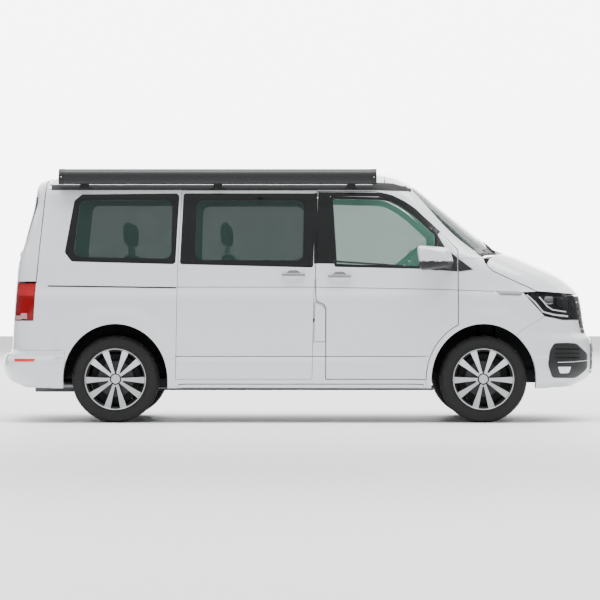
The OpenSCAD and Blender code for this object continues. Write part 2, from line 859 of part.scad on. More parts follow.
// ---- awning ----
module awning() {
    x1 = front_x - 870;
    y1 = -half_w + 160;
    color(dark) {
        translate([x1, y1 - awning_d, lid_z]) rotate([0, -90, 0]) linear_extrude(awning_l)
            soft(22) polygon([[0, 6], [0, awning_d], [awning_h - 30, awning_d], [awning_h, 60],
                             [awning_h, 30], [awning_h - 30, 0], [30, 0]]);
        difference() {
            for (x = [x1 - 200, x1 - awning_l / 2, x1 - awning_l + 160])
                box([x, y1 - 70, gutter_z + 6], [x + 60, y1 + 30, lid_z + 1]);
            form(-eps);
        }
    }
}

// Hinge bodies and stops that carry the doors, each a hair short of the moving part
function side_y(z) = half_w - lookup(z, side_line);
// Strip between a fixed panel and the inner body of the door in it, cut to one window
module frame_gap(x0, x1, z0, z1) {
    intersection() {
        difference() {
            offset(delta = shut_gap / 2) children();
            offset(delta = eps - inner_gap / 2) children();
        }
        translate([x0, z0]) square([x1 - x0, z1 - z0]);
    }
}
door_hinge_z = [940, 1240];
bonnet_stop_y = half_w - 94;
module hinge_brackets() {
    color(steel) for (side = [-1, 1]) scale([1, side, 1]) {
        for (z = door_hinge_z)
            slab(side_y(z) - wall + 8, side_y(z + 60) - rebate - 6)
                frame_gap(door_front_x - 20, door_front_x + 20, z, z + 60) front_door_outline();
        slab(300, 370)
            frame_gap(rear_x - 600, rear_x - 540, header_z + 10, header_z + 32)
                tailgate_wrap_outline();
        slab(bonnet_stop_y, bonnet_stop_y + 8)
            frame_gap(front_x + 310, front_x + 350, 1050, 1150) bonnet_outline();
        for (x = [lid_rear_x + 20, lid_front_x - 120])
            box([x, half_w - 222, lid_z - shut_gap], [x + 70, half_w - 200, lid_z - eps]);
    }
    color(steel) box([door_rear_x + 5, -side_y(820) + rebate - 4 + eps, 815],
        [door_rear_x + 25, -side_y(820) + rebate + 2 - eps, 830]);
}

floor_pan();
body_side_right();
body_side_left();
roof_frame();
pop_top_roof();
sliding_door();
front_door_right();
front_door_left();
tailgate();
bonnet();
front_wings();
front_bumper();
rear_bumper();
grille();
headlamps();
tail_lamps();
windscreen();
side_glass();
door_glass_right();
door_glass_left();
tailgate_glass();
mirror_right();
mirror_left();
fuel_flap();
bulkhead();
dashboard();
steering_wheel();
front_seats();
middle_seats();
rear_bench();
engine_block();
front_subframe();
knuckle_right();
knuckle_left();
rear_axle();
fuel_tank();
exhaust();
hinge_brackets();
awning();
tyre(front_x, -1);  // tyre_front_right
tyre(front_x, 1);  // tyre_front_left
tyre(rear_x, -1);  // tyre_rear_right
tyre(rear_x, 1);  // tyre_rear_left
rim(front_x, -1);  // rim_front_right
rim(front_x, 1);  // rim_front_left
rim(rear_x, -1);  // rim_rear_right
rim(rear_x, 1);  // rim_rear_left
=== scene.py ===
# %% [markdown]
# # A camper van with a pop-top roof
#
# This lesson dresses the CAD model of a camper van for a render. The CAD model gives every
# place and every size. Blender gives the smooth sheet metal, the glass, the lamps, the tyres,
# the padded seats and the light.
#
# The frame is read first. It holds the CAD pieces as objects, the bodies that they move
# with, and the record with the joints. All lengths are in metres. +X is forward, +Y is the
# van's left and +Z is up.

# %% Read the frame
import math

import bmesh
import bpy
from mathutils import Matrix, Vector
from mathutils.bvhtree import BVHTree
from mathutils.interpolate import poly_3d_calc


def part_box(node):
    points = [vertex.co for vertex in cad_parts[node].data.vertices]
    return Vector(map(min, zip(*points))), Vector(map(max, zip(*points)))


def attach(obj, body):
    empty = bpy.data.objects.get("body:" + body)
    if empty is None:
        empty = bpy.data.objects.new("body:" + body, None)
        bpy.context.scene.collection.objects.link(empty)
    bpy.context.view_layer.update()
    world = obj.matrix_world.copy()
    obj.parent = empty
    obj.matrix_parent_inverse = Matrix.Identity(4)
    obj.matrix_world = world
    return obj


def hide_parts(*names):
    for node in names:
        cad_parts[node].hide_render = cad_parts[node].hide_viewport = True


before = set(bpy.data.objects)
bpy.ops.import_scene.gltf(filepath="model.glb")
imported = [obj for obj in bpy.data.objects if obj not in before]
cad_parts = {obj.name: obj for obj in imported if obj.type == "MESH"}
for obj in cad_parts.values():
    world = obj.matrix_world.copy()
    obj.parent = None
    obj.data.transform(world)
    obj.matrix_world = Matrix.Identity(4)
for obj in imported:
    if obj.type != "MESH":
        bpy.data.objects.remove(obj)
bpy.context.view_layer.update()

# %% [markdown]
# ## Colours and materials
#
# Colours are written as screen colours in hex, and one function turns them into the linear
# values that a renderer works with. Every material is built by one function from a base
# colour, a faint change of tone at a real scale, and a small relief. A larger piece of a
# real vehicle is never exactly one tone: paint has a trace of dust, plastic has a grain and
# rubber is scuffed.

# %% Node and material helpers
COAT_ROUGHNESS = 0.04


def linear(hex_colour):
    parts = [int(hex_colour[i:i + 2], 16) / 255 for i in (1, 3, 5)]
    return [c / 12.92 if c <= 0.04045 else ((c + 0.055) / 1.055) ** 2.4 for c in parts] + [1.0]


def add(tree, kind, settings=(), links=()):
    """Adds one node. Settings name an input by name or number, or a property."""
    node = tree.nodes.new(kind)
    for key, value in dict(settings).items():
        if isinstance(key, int) or key in node.inputs:
            node.inputs[key].default_value = value
        else:
            setattr(node, key, value)
    for key, source in dict(links).items():
        tree.links.new(source, node.inputs[key])
    return node


def finish(name, colour, roughness, grain_mm=60, tone=0.04, relief_mm=0.0, metallic=0.0,
           coat=0.0, alpha=1.0, glow=0.0, pattern="ShaderNodeTexNoise"):
    """A material with a change of tone and a relief at a real size, in object space."""
    material = bpy.data.materials.new(name)
    material.use_nodes = True
    tree = material.node_tree
    tree.nodes.clear()
    place = add(tree, "ShaderNodeTexCoord")
    grain = add(tree, pattern, {"Scale": 1000 / grain_mm}, {"Vector": place.outputs["Object"]})
    base = linear(colour)
    dark = [c * (1 - tone) for c in base[:3]] + [1]
    light = [min(1, c * (1 + tone)) for c in base[:3]] + [1]
    value = grain.outputs["Distance" if pattern == "ShaderNodeTexVoronoi" else "Fac"]
    mix = add(tree, "ShaderNodeMix", {"data_type": "RGBA", 6: dark, 7: light}, {0: value})
    shader_links = {"Base Color": mix.outputs[2]}
    if relief_mm:
        bump = add(tree, "ShaderNodeBump", {"Strength": 1.0, "Distance": relief_mm / 1000},
                   {"Height": value})
        shader_links["Normal"] = bump.outputs["Normal"]
    settings = {"Roughness": roughness, "Metallic": metallic, "Coat Weight": coat,
                "Coat Roughness": COAT_ROUGHNESS, "Alpha": alpha}
    if glow:
        settings["Emission Strength"] = glow
        settings["Emission Color"] = base
    shader = add(tree, "ShaderNodeBsdfPrincipled", settings, shader_links)
    add(tree, "ShaderNodeOutputMaterial", (), {"Surface": shader.outputs["BSDF"]})
    return material


# %% [markdown]
# Each material is named for what the piece is made of on the real van. The body is steel with
# a white base coat and a clear coat. The window panes are tempered glass, tinted dark behind
# the doors. The black band round a pane is ceramic frit, a glass paint baked on from inside.

# %% The materials
# Clear coat over white: a soft, even gloss with a second sharp one on top.
PAINT = finish("white_clearcoated_steel", "#E4E6EA", 0.35, 900, 0.01, coat=0.7)
# Baked glass paint: black and smooth as the glass itself.
FRIT = finish("black_ceramic_frit", "#141617", 0.2, 200, 0.05)
# Moulded polypropylene linings and mouldings: dull, with a fine leather grain.
TRIM = finish("grey_moulded_lining", "#5A5E61", 0.75, 3, 0.08, 0.15)
# Tinted glass in a thin sheet: light goes straight on and loses some strength, so alpha sets
# how much comes through, and the low roughness gives the clean gloss.
GLASS_REAR = finish("privacy_tinted_glass", "#253935", 0.04, 400, 0.05, alpha=0.7)
GLASS_FRONT = finish("green_tinted_glass", "#4A7566", 0.04, 400, 0.05, alpha=0.55)
# Unpainted bumper plastic: grained and half dull. The 2 mm grain is coarser than the real one,
# which is too fine to show.
BLACK = finish("black_grained_polypropylene", "#161718", 0.5, 2, 0.1, 0.06)
# Polished mouldings and door seals: one reflects, the other takes the light away.
GLOSS = finish("black_gloss_plastic", "#0C0D0E", 0.25, 300, 0.05)
SEAL = finish("black_door_seal_rubber", "#0B0B0C", 0.7, 8, 0.1, 0.05)
# Powder-coated extrusion: dark grey with a soft, wide highlight.
AWNING = finish("grey_coated_aluminium_case", "#1D1E20", 0.45, 4, 0.05, 0.02)
# Metals. Painted alloy is a metal under lacquer, the satin handle is half dull, and plated
# plastic is a clear mirror. The handle's grey is partly its satin metal, partly painted shade.
SILVER = finish("silver_painted_alloy", "#C9CBCD", 0.3, 300, 0.02, metallic=0.7, coat=0.5)
SATIN_AND_SHADE = finish("satin_handle_with_painted_shade", "#8A8C8F", 0.35, 60, 0.03, metallic=0.5)
CHROME = finish("chromed_plastic", "#D8DADC", 0.08, 300, 0.02, metallic=1.0)
# Cast iron and a turned brake disc: metals that differ in tone and in roughness.
DARK_METAL = finish("dark_cast_iron", "#17181A", 0.6, 12, 0.15, 0.1, metallic=0.3)
DISC = finish("turned_brake_disc_steel", "#3C3E40", 0.4, 5, 0.08, 0.03, metallic=0.8)
# Rubber, waxed steel and stone-chip coating: nearly black, and rough enough to stay matt.
RUBBER = finish("tyre_rubber", "#0B0B0B", 0.75, 6, 0.12, 0.12)
STEEL = finish("black_waxed_chassis_steel", "#101112", 0.7, 25, 0.15, 0.1)
UNDER = finish("grey_underbody_coating", "#0D0E0F", 0.9, 9, 0.15, 0.4)
# Stainless pipe: bright, but dulled by heat.
EXHAUST = finish("stainless_exhaust_steel", "#8D9092", 0.38, 30, 0.1, 0.03, metallic=1.0)
# Seat cloth: cells of 3 mm stand for the weave, whose threads are too fine to show.
CLOTH = finish("woven_seat_cloth", "#25272A", 0.9, 3, 0.2, 0.35, pattern="ShaderNodeTexVoronoi")
# Lamps: clear and red covers, and the faceted reflectors and light guides behind them.
LENS = finish("clear_polycarbonate", "#20262A", 0.04, 400, 0.02, alpha=0.25)
RED_LENS = finish("red_acrylic_lens", "#9A1018", 0.05, 400, 0.05, alpha=0.55, coat=0.5)
# On the bumper reflectors this glow is painted light, since they are no lamps.
RED_BRIGHT = finish("red_lamp_reflector", "#E02632", 0.25, 6, 0.12, 0.3, glow=0.15)
RED_DARK = finish("dark_red_lamp_reflector", "#8E0D14", 0.25, 6, 0.15, 0.3)
LAMP_DARK = finish("dark_lamp_housing", "#1C1E20", 0.3, 30, 0.1, metallic=0.3)
GUIDE = finish("white_light_guide", "#E8ECEF", 0.2, 30, 0.03, glow=0.35)
# The mirror is silvered behind its glass. The blank plate is painted aluminium sheet.
MIRROR_GLASS = finish("silvered_mirror_glass", "#D5DADC", 0.02, 300, 0.01, metallic=1.0)
PLATE = finish("blank_plate_aluminium", "#D9DBDA", 0.45, 60, 0.03)
FLOOR = finish("pale_studio_floor", "#F4F5F6", 0.6, 1500, 0.005)
print("materials", len(bpy.data.materials))

# %% [markdown]
# ## The master surface
#
# A car body is drawn as one closed surface, and its panels are cut out of it. The same is done
# here. The CAD model builds this surface from plan outlines at a few heights, with flat
# facets between them. Here the tables are read with a smooth curve through their points, so
# the same surface comes out round. The numbers are the CAD model's own, in millimetres.

# %% Tables of the body's shape
WHEEL_X, HALF_W, HEADER, CROWN, COWL = 1500, 952, 1937, 127, 1400
TOP = HEADER + CROWN
NOSE = [(285, 779), (347, 895), (415, 952), (573, 952), (682, 934), (723, 895), (1037, 837),
        (1075, 808), (1124, 759), (1185, 682), (1238, 585), (1281, 488), (1325, 391),
        (1372, 274), (COWL, 159), (HEADER, -536), (HEADER + CROWN * 0.26, -588),
        (HEADER + CROWN * 0.64, -673), (HEADER + CROWN * 0.93, -808), (TOP, -1098)]
TAIL = [(285, 795), (343, 904), (457, 952), (560, 935), (586, 885), (781, 874), (1148, 848),
        (1251, 840), (1363, 815), (1450, 788), (1610, 747), (HEADER - 168, 706),
        (HEADER - 6, 680), (HEADER + CROWN * 0.26, 662), (HEADER + CROWN * 0.42, 617),
        (HEADER + CROWN * 0.60, 547), (HEADER + CROWN * 0.80, 412), (TOP, 52)]
SIDE = [(285, 62), (315, 37), (355, 24), (490, 0), (530, 0), (546, 9), (700, 6), (1010, 1),
        (1040, 5), (1075, 17), (1105, 24), (1275, 46), (1450, 70), (1610, 96),
        (HEADER - 167, 128), (HEADER - 67, 150), (HEADER - 32, 165), (HEADER, 187),
        (HEADER + CROWN * 0.20, 222), (HEADER + CROWN * 0.42, 275),
        (HEADER + CROWN * 0.64, 350), (HEADER + CROWN * 0.85, 480), (TOP, 640)]
NOSE_ROUND = [(285, 620), (1040, 640), (1372, 560), (COWL, 520), (HEADER, 265), (TOP, 330)]
TAIL_ROUND = [(285, 300), (1100, 260), (HEADER, 240), (TOP, 420)]
NOSE_POWER = [(285, 2.7), (1100, 2.5), (COWL, 2.5), (HEADER, 2.9), (TOP, 2.6)]
TAIL_POWER = 3.6
LEVELS = [285, 315, 347, 415, 490, 530, 546, 586, 682, 723, 1010, 1040, 1075, 1105, 1124,
          1185, 1238, 1281, 1325, 1372, COWL, 1500, 1610, HEADER - 167, HEADER - 67,
          HEADER - 32, HEADER, HEADER + CROWN * 0.2, HEADER + CROWN * 0.42,
          HEADER + CROWN * 0.64, HEADER + CROWN * 0.85, TOP]


def straight(table, z):
    """Reads a table with straight lines between its points."""
    if z <= table[0][0]:
        return table[0][1]
    for (z0, a), (z1, b) in zip(table, table[1:]):
        if z <= z1:
            return a + (b - a) * (z - z0) / (z1 - z0)
    return table[-1][1]


def curved(table, z):
    """Reads a table with a smooth curve that never overshoots its points."""
    if z <= table[0][0] or z >= table[-1][0]:
        return straight(table, z)
    slopes = [(b - a) / (z1 - z0) for (z0, a), (z1, b) in zip(table, table[1:])]
    k = next(i for i in range(len(slopes)) if z <= table[i + 1][0])

    def tangent(i):
        if i == 0 or i == len(slopes):
            return slopes[min(i, len(slopes) - 1)]
        s, t = slopes[i - 1], slopes[i]
        return 0 if s * t <= 0 else 2 * s * t / (s + t)

    (z0, a), (z1, b) = table[k], table[k + 1]
    h = z1 - z0
    t = (z - z0) / h
    return (a * (1 + 2 * t) * (1 - t) ** 2 + h * tangent(k) * t * (1 - t) ** 2
            + b * t * t * (3 - 2 * t) - h * tangent(k + 1) * t * t * (1 - t))


# %% [markdown]
# Each height gives a closed outline in plan: a nose and a tail with a rounded end, joined by
# two straight sides. The outlines are skinned from the sill to the roof. A subdivision
# surface could round the facets too, but it would shrink the body away from its CAD size,
# while a loft through the same tables stays on them.

# %% Loft the facetted and the smooth surface
SIDE_STEPS = 40  # faces along a straight side
LEVEL_STEP = 12  # largest height of a face of the smooth surface, in millimetres


def plan_ring(z, read, steps):
    """Outline of the body in plan at one height, as a list of points in metres."""
    w = HALF_W - read(SIDE, z)
    front, rear = WHEEL_X + read(NOSE, z), -WHEEL_X - read(TAIL, z)
    fl, rl = straight(NOSE_ROUND, z), straight(TAIL_ROUND, z)
    fp, rp = 2 / straight(NOSE_POWER, z), 2 / TAIL_POWER
    points = []
    for end, length, power, sign in ((front, fl, fp, 1), (rear, rl, rp, -1)):
        for i in range(-steps, steps + 1):
            a = sign * math.pi / 2 * i / steps
            c, s = max(0.0, math.cos(a)), math.sin(a)
            y = math.copysign(abs(s) ** power, s) * w
            points.append(Vector((end - sign * length * (1 - c ** power), y, z)) / 1000)
        if sign > 0:
            points += [points[-1].lerp(Vector((rear + rl, w, z)) / 1000, k / SIDE_STEPS)
                       for k in range(1, SIDE_STEPS)]
    points += [points[-1].lerp(points[0], k / SIDE_STEPS) for k in range(1, SIDE_STEPS)]
    return points


def loft(read, levels, steps):
    """Skins the outlines at several heights, with a cap on the top one."""
    bm = bmesh.new()
    rings = [[bm.verts.new(p) for p in plan_ring(z, read, steps)] for z in levels]
    count = len(rings[0])
    for low, high in zip(rings, rings[1:]):
        for k in range(count):
            bm.faces.new((low[k], low[(k + 1) % count], high[(k + 1) % count], high[k]))
    cap = bm.faces.new(rings[-1])
    for _ in range(3):
        bmesh.ops.inset_region(bm, faces=[cap], thickness=0.06, depth=0.0)
    bmesh.ops.triangulate(bm, faces=[cap])
    bmesh.ops.recalc_face_normals(bm, faces=bm.faces)
    bm.normal_update()
    return bm


fine_levels = [a + (b - a) * k / n for a, b in zip(LEVELS, LEVELS[1:])
               for n in [max(2, round((b - a) / LEVEL_STEP))] for k in range(n)] + [TOP]
facetted = loft(straight, LEVELS, 8)
facetted_tree = BVHTree.FromBMesh(facetted)
master = loft(curved, fine_levels, 28)
master.faces.ensure_lookup_table()
master_tree = BVHTree.FromBMesh(master)
print("master surface", len(master.verts), "points")


# %% [markdown]
# Two things are too small for the tables. The body swells round each wheel arch by a few
# millimetres, and the step along the sills has an upper edge that leans back and catches the
# light. Both are added when a point is laid on the surface. Modelling them as separate
# strips would leave a visible joint in the paint.

# %% Places on the skin
def smooth_normal(place, index):
    """The rounded surface's normal at a point of one of its faces."""
    verts = master.faces[index].verts
    weights = poly_3d_calc([v.co for v in verts], place)
    return sum((v.normal * w for v, w in zip(verts, weights)), Vector()).normalized()


FLARE_RISE, FLARE_OUT, FLARE_BAND = 0.007, 0.575, 0.085
FLARE_GLOSS = 2.2  # how much steeper the shading is than the real rise
FLARE_SIDE, FLARE_TOP, ARCH_HEIGHT, ARCH_STRETCH = 0.8, 1.0, 0.355, 1.06
STEP_LOW, STEP_HIGH, STEP_END, STEP_LEAN = 0.494, 0.532, 1.03, 0.35


def flared(place, normal):
    """The point and its normal, with the swelling round the wheel arches."""
    if abs(place.y) < FLARE_SIDE or place.z > FLARE_TOP:
        return place, normal
    if STEP_LOW < place.z < STEP_HIGH and place.x < STEP_END:
        return place, (normal + Vector((0, 0, STEP_LEAN))).normalized()
    across = place.x - math.copysign(WHEEL_X / 1000, place.x)
    up = (place.z - ARCH_HEIGHT) / ARCH_STRETCH
    away = math.hypot(across, up)
    t = min(1.0, (FLARE_OUT - away) / FLARE_BAND)
    if t <= 0:
        return place, normal
    rise = FLARE_RISE * t * t * (3 - 2 * t)
    slope = FLARE_GLOSS * FLARE_RISE * 6 * t * (1 - t) / FLARE_BAND
    outward = Vector((across, 0, up)) / away
    return place + normal * rise, (normal + outward * slope).normalized()


def onto_master(point):
    place, _, index, _ = master_tree.find_nearest(point)
    return flared(place, smooth_normal(place, index))


# For each side: the direction across it, the direction up it, and the direction out of it.
FACINGS = {"right": ((1, 0, 0), (0, 0, 1), (0, -1, 0)), "left": ((1, 0, 0), (0, 0, 1), (0, 1, 0)),
           "front": ((0, 1, 0), (0, 0, 1), (1, 0, 0)), "rear": ((0, 1, 0), (0, 0, 1), (-1, 0, 0)),
           "top": ((1, 0, 0), (0, 1, 0), (0, 0, 1))}
RAY_START, MISS_DEPTH = 5, 0.95  # metres from the middle: where a ray starts, where it ends


def skin_at(facing, u, v):
    """Where the master surface is, seen from one side at (u, v) in millimetres."""
    across, up, out = (Vector(a) for a in FACINGS[facing])
    start = (across * u + up * v) / 1000 + out * RAY_START
    place, _, index, _ = master_tree.ray_cast(start, -out)
    if place is None:
        nearby = start - out * (RAY_START - MISS_DEPTH)
        place, _, index, _ = master_tree.find_nearest(nearby)
    return flared(place, smooth_normal(place, index))

# %% [markdown]
# ## Making pieces
#
# Every piece ends the same way: its mesh becomes an object at the origin, it gets its
# materials, it rides on the body that carries it, and the CAD pieces that it stands for are
# hidden. One function does that. Three more cover what almost every piece needs:
# a box, a pull along its faces, and a small round on its edges.

# %% Piece helpers
SHARP = math.radians(35)  # edges sharper than this stay sharp in the shading
SIDES = (("right", -1), ("left", 1))


def soft_edges(bm, edges, offset, segments, clamp=False):
    """Rounds edges, as a mould or a press does."""
    bmesh.ops.bevel(bm, geom=edges, offset=offset, offset_type="OFFSET", segments=segments,
                    affect="EDGES", profile=0.5, material=-1, clamp_overlap=clamp)


def pulled(bm, faces):
    """Extrudes faces in place and gives the new points."""
    grown = bmesh.ops.extrude_face_region(bm, geom=faces, use_keep_orig=True)["geom"]
    return [g for g in grown if isinstance(g, bmesh.types.BMVert)]


def cuboid(size, middle=(0, 0, 0)):
    bm = bmesh.new()
    bmesh.ops.create_cube(bm, size=1)
    bmesh.ops.scale(bm, vec=size, verts=bm.verts)
    bmesh.ops.translate(bm, vec=middle, verts=bm.verts)
    return bm


def piece(name, bm, materials, body, stands_for=(), normals=None):
    """Turns a bmesh into an object that belongs to the van."""
    mesh = bpy.data.meshes.new(name)
    bm.to_mesh(mesh)
    bm.free()
    for material in materials:
        mesh.materials.append(material)
    mesh.polygons.foreach_set("use_smooth", [True] * len(mesh.polygons))
    if normals:
        mesh.normals_split_custom_set(normals)
    else:
        mesh.set_sharp_from_angle(angle=SHARP)
    obj = bpy.data.objects.new(name, mesh)
    bpy.context.scene.collection.objects.link(obj)
    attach(obj, body)
    if stands_for:
        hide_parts(*stands_for)
    return obj


# %% [markdown]
# ### Sheet metal
#
# A real panel is pressed from one sheet, hemmed round its edge and hung with an even gap to
# its neighbours. The CAD panel has the right outline and thickness, but flat facets. It is
# copied, its outer faces are split finely, and their points are laid on the master surface.
# The outer faces also take their shading normals from the master surface, so that light runs
# across a shut line without a kink. Where two panels touch, both are cut back a little, which
# leaves the thin dark line between them. A Shrinkwrap modifier could lay the points too, but
# it would also pull the linings and the hems, which have to stay where they are.
#
# An outer face is one that lies on the facetted surface. A face some 6 mm deeper is the seat
# of a glass pane, which carries the black frit. Faces that look inward are the lining.

# %% Sheet metal and glass from the CAD panels
OUTER, SEAT, LINING, EDGE = 1, 2, 3, 4
SKIN = (OUTER, SEAT)
FRIT_LIFT = 0.0005  # the frit stands this far proud of the paint
PANEL_EDGE = 0.05  # longest edge of an outer face, in metres
SKIN_DEPTH, SEAT_DEPTH = 0.0028, (0.004, 0.0095)  # how deep an outer face and a seat may lie
LOOKS_OUT, LOOKS_IN = 0.7, -0.5  # cosine between a face and the skin
MIN_PULL = 0.2  # below this the rims on both sides of a point cancel out


def role_of(face):
    centre = face.calc_center_median()
    place, normal, _, _ = facetted_tree.find_nearest(centre)
    depth = max((v.co - facetted_tree.find_nearest(v.co)[0]).length for v in face.verts)
    if face.normal.dot(normal) > LOOKS_OUT:
        if depth < SKIN_DEPTH:
            return OUTER
        if SEAT_DEPTH[0] < depth < SEAT_DEPTH[1]:
            return SEAT
    return LINING if face.normal.dot(normal) < LOOKS_IN else EDGE


def halved(bm, edges):
    """Cuts edges in two and leaves only triangles."""
    bmesh.ops.subdivide_edges(bm, edges=edges, cuts=1)
    bmesh.ops.triangulate(bm, faces=[f for f in bm.faces if len(f.verts) > 3])


def split_outer(bm, role):
    for _ in range(6):
        long_edges = [e for e in bm.edges if e.calc_length() > PANEL_EDGE
                      and any(f[role] in SKIN for f in e.link_faces)]
        if not long_edges:
            return
        halved(bm, long_edges)


def cut_back(bm, role, seam):
    """Moves the rim of the outer faces inward along the surface."""
    moves = {}
    for edge in bm.edges:
        outer = [f for f in edge.link_faces if f[role] == OUTER]
        if len(outer) == 1 and len(edge.link_faces) == 2:
            run = (edge.verts[1].co - edge.verts[0].co).normalized()
            inward = outer[0].normal.cross(run)
            middle = (edge.verts[0].co + edge.verts[1].co) / 2
            if inward.dot(outer[0].calc_center_median() - middle) < 0:
                inward = -inward
            for v in edge.verts:
                moves[v] = moves.get(v, Vector()) + inward.normalized()
    for v, move in moves.items():
        if move.length > MIN_PULL:
            v.co += move.normalized() * seam


def smooth_panel(node, body, materials, seam=0.0):
    """A copy of a CAD panel whose outer face follows the master surface."""
    bm = bmesh.new()
    bm.from_mesh(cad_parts[node].data)
    bmesh.ops.remove_doubles(bm, verts=bm.verts, dist=2e-5)
    bm.normal_update()
    role = bm.faces.layers.int.new("role")
    for face in bm.faces:
        face[role] = role_of(face)
    split_outer(bm, role)
    for kind, lift in ((SEAT, FRIT_LIFT), (OUTER, 0.0)):
        for v in {v for f in bm.faces if f[role] == kind for v in f.verts}:
            place, normal = onto_master(v.co)
            v.co = place + normal * lift
    bm.normal_update()
    if seam:
        cut_back(bm, role, seam)
    bm.normal_update()
    normals = []
    for face in bm.faces:
        face.material_index = {OUTER: 0, SEAT: 1, LINING: 2, EDGE: 3}[face[role]]
        for v in face.verts:
            normals.append(onto_master(v.co)[1] if face[role] in SKIN else face.normal.copy())
    return piece(node + "_skin", bm, materials, body, (node,), normals=normals)


METAL = (PAINT, FRIT, TRIM, PAINT)
PANELS = {
    "body_side_right": ("shell", 0.0012), "body_side_left": ("shell", 0.0012),
    "roof_frame": ("shell", 0.0012), "pop_top_roof": ("pop_top", 0),
    "sliding_door": ("shell", 0.0025), "front_door_right": ("front_door_right", 0),
    "front_door_left": ("front_door_left", 0), "tailgate": ("tailgate", 0),
    "bonnet": ("bonnet", 0), "front_wings": ("shell", 0.0012),
    "front_bumper": ("shell", 0.0012), "rear_bumper": ("shell", 0.0012),
    "fuel_flap": ("fuel_flap", 0),
}
for node, (body, seam) in PANELS.items():
    made = smooth_panel(node, body, METAL, seam)
    print(node, len(made.data.polygons), "faces")

# %% [markdown]
# The panes are bent sheets of tempered glass, bonded flush with the metal. Their rim is black.

# %% Window panes
for node, body, glass in (("side_glass", "shell", GLASS_REAR), ("windscreen", "shell", GLASS_REAR),
                          ("door_glass_right", "front_door_right", GLASS_FRONT),
                          ("door_glass_left", "front_door_left", GLASS_FRONT),
                          ("tailgate_glass", "tailgate", GLASS_REAR)):
    smooth_panel(node, body, (glass, glass, glass, FRIT))
print("panes made")

# %% [markdown]
# ### Trims that lie on the skin
#
# Mouldings, badges, reflectors and seals are thin pieces that follow the body. Each is drawn
# as a flat outline seen from one side, cut into small facets, laid on the master surface and
# given a thickness outward. The outline is in millimetres, in the plane that the viewer sees.
# Each could be modelled in place on the curved skin, but a flat outline is easy to read off
# and to correct.

# %% Trims from flat outlines
ARC_STEPS, ARC_SHARE = 4, 0.45  # pieces of a corner's arc, share of a side that it may take


def laid(outline, facing, lift, thick, step=30, soften=0.0):
    """A thin plate whose outline is seen from one side, laid on the master surface."""
    across, up, out = (Vector(a) for a in FACINGS[facing])
    bm = bmesh.new()
    bm.faces.new([bm.verts.new((across * u + up * v) / 1000) for u, v in outline])
    for axis, k in ((across, 0), (up, 1)):
        low, high = min(p[k] for p in outline), max(p[k] for p in outline)
        cuts = int((high - low) / step)
        for n in range(1, cuts + 1):
            place = axis * (low + (high - low) * n / (cuts + 1)) / 1000
            bmesh.ops.bisect_plane(bm, geom=bm.verts[:] + bm.edges[:] + bm.faces[:],
                                   plane_co=place, plane_no=axis, dist=1e-6)
    bmesh.ops.triangulate(bm, faces=[f for f in bm.faces if len(f.verts) > 4])
    for v in bm.verts:
        place, normal = skin_at(facing, v.co.dot(across) * 1000, v.co.dot(up) * 1000)
        v.co = place + normal * lift / 1000
    bm.normal_update()
    if sum((f.normal for f in bm.faces), Vector()).dot(out) < 0:
        bmesh.ops.reverse_faces(bm, faces=bm.faces)
    top = pulled(bm, bm.faces[:])
    for v in top:
        v.co += onto_master(v.co)[1] * thick / 1000
    bmesh.ops.recalc_face_normals(bm, faces=bm.faces)
    if soften:
        upper = set(top)
        rim = [e for e in bm.edges if all(v in upper for v in e.verts)
               and e.calc_face_angle(0) > SHARP]
        soft_edges(bm, rim, soften / 1000, 2, clamp=True)
    return bm


def band(points, width):
    """Outline of a line of even width through the points."""
    half = width / 2
    sides = []
    for i, (u, v) in enumerate(points):
        (u0, v0), (u1, v1) = points[max(0, i - 1)], points[min(len(points) - 1, i + 1)]
        length = math.hypot(u1 - u0, v1 - v0)
        across = ((v0 - v1) / length * half, (u1 - u0) / length * half)
        sides.append(((u + across[0], v + across[1]), (u - across[0], v - across[1])))
    return [s[0] for s in sides] + [s[1] for s in reversed(sides)]


def rounded(points, radius):
    """The outline with each corner replaced by a small arc."""
    result = []
    for i, point in enumerate(points):
        here = Vector(point)
        before, after = Vector(points[i - 1]) - here, Vector(points[(i + 1) % len(points)]) - here
        cut = min(radius, before.length * ARC_SHARE, after.length * ARC_SHARE)
        a, b = here + before.normalized() * cut, here + after.normalized() * cut
        for k in range(ARC_STEPS + 1):
            t = k / ARC_STEPS
            q = a * (1 - t) ** 2 + here * 2 * t * (1 - t) + b * t * t
            result.append((q.x, q.y))
    return result


def oblong(u0, v0, u1, v1, radius=8):
    return rounded([(u0, v0), (u1, v0), (u1, v1), (u0, v1)], radius)


def trim(name, outline, facing, material, body="shell", slot="trim_plastic", lift=-1.0,
         thick=3.0, step=30, soften=0.0):
    return piece(name, laid(outline, facing, lift, thick, step, soften), [material], body)


def both(name, outline, material, **more):
    """The same trim on the right and on the left side."""
    for side, _ in SIDES:
        trim(name + "_" + side, outline, side, material, **more)

# %% [markdown]
# ## Wheels
#
# A tyre is moulded, so its section is turned round the axle. The tread has grooves round it
# and short cuts across its shoulders. The rim is cast and machined: a barrel, a lip and ten
# spokes in five pairs that widen outward. The faces are bright. The barrel and the sides and
# backs of the spokes are black as painted shade, which makes the pockets dark. The wheel is
# drawn once, facing outward along +Z, and set in four places.
# The section could also be turned by a Screw modifier, but the spin leaves a mesh whose
# points can be pulled in for the tread cuts.

# %% Tyre
TYRE_R, TYRE_HALF, HUB_HEIGHT, TRACK = 0.355, 0.1125, 0.355, 0.806
TREAD_STEPS, CUT_EVERY, CUT_DEPTH = 288, 4, 0.005
SHOULDER_R, SHOULDER_Z = 0.34, 0.062  # cuts lie outside this radius and this half width


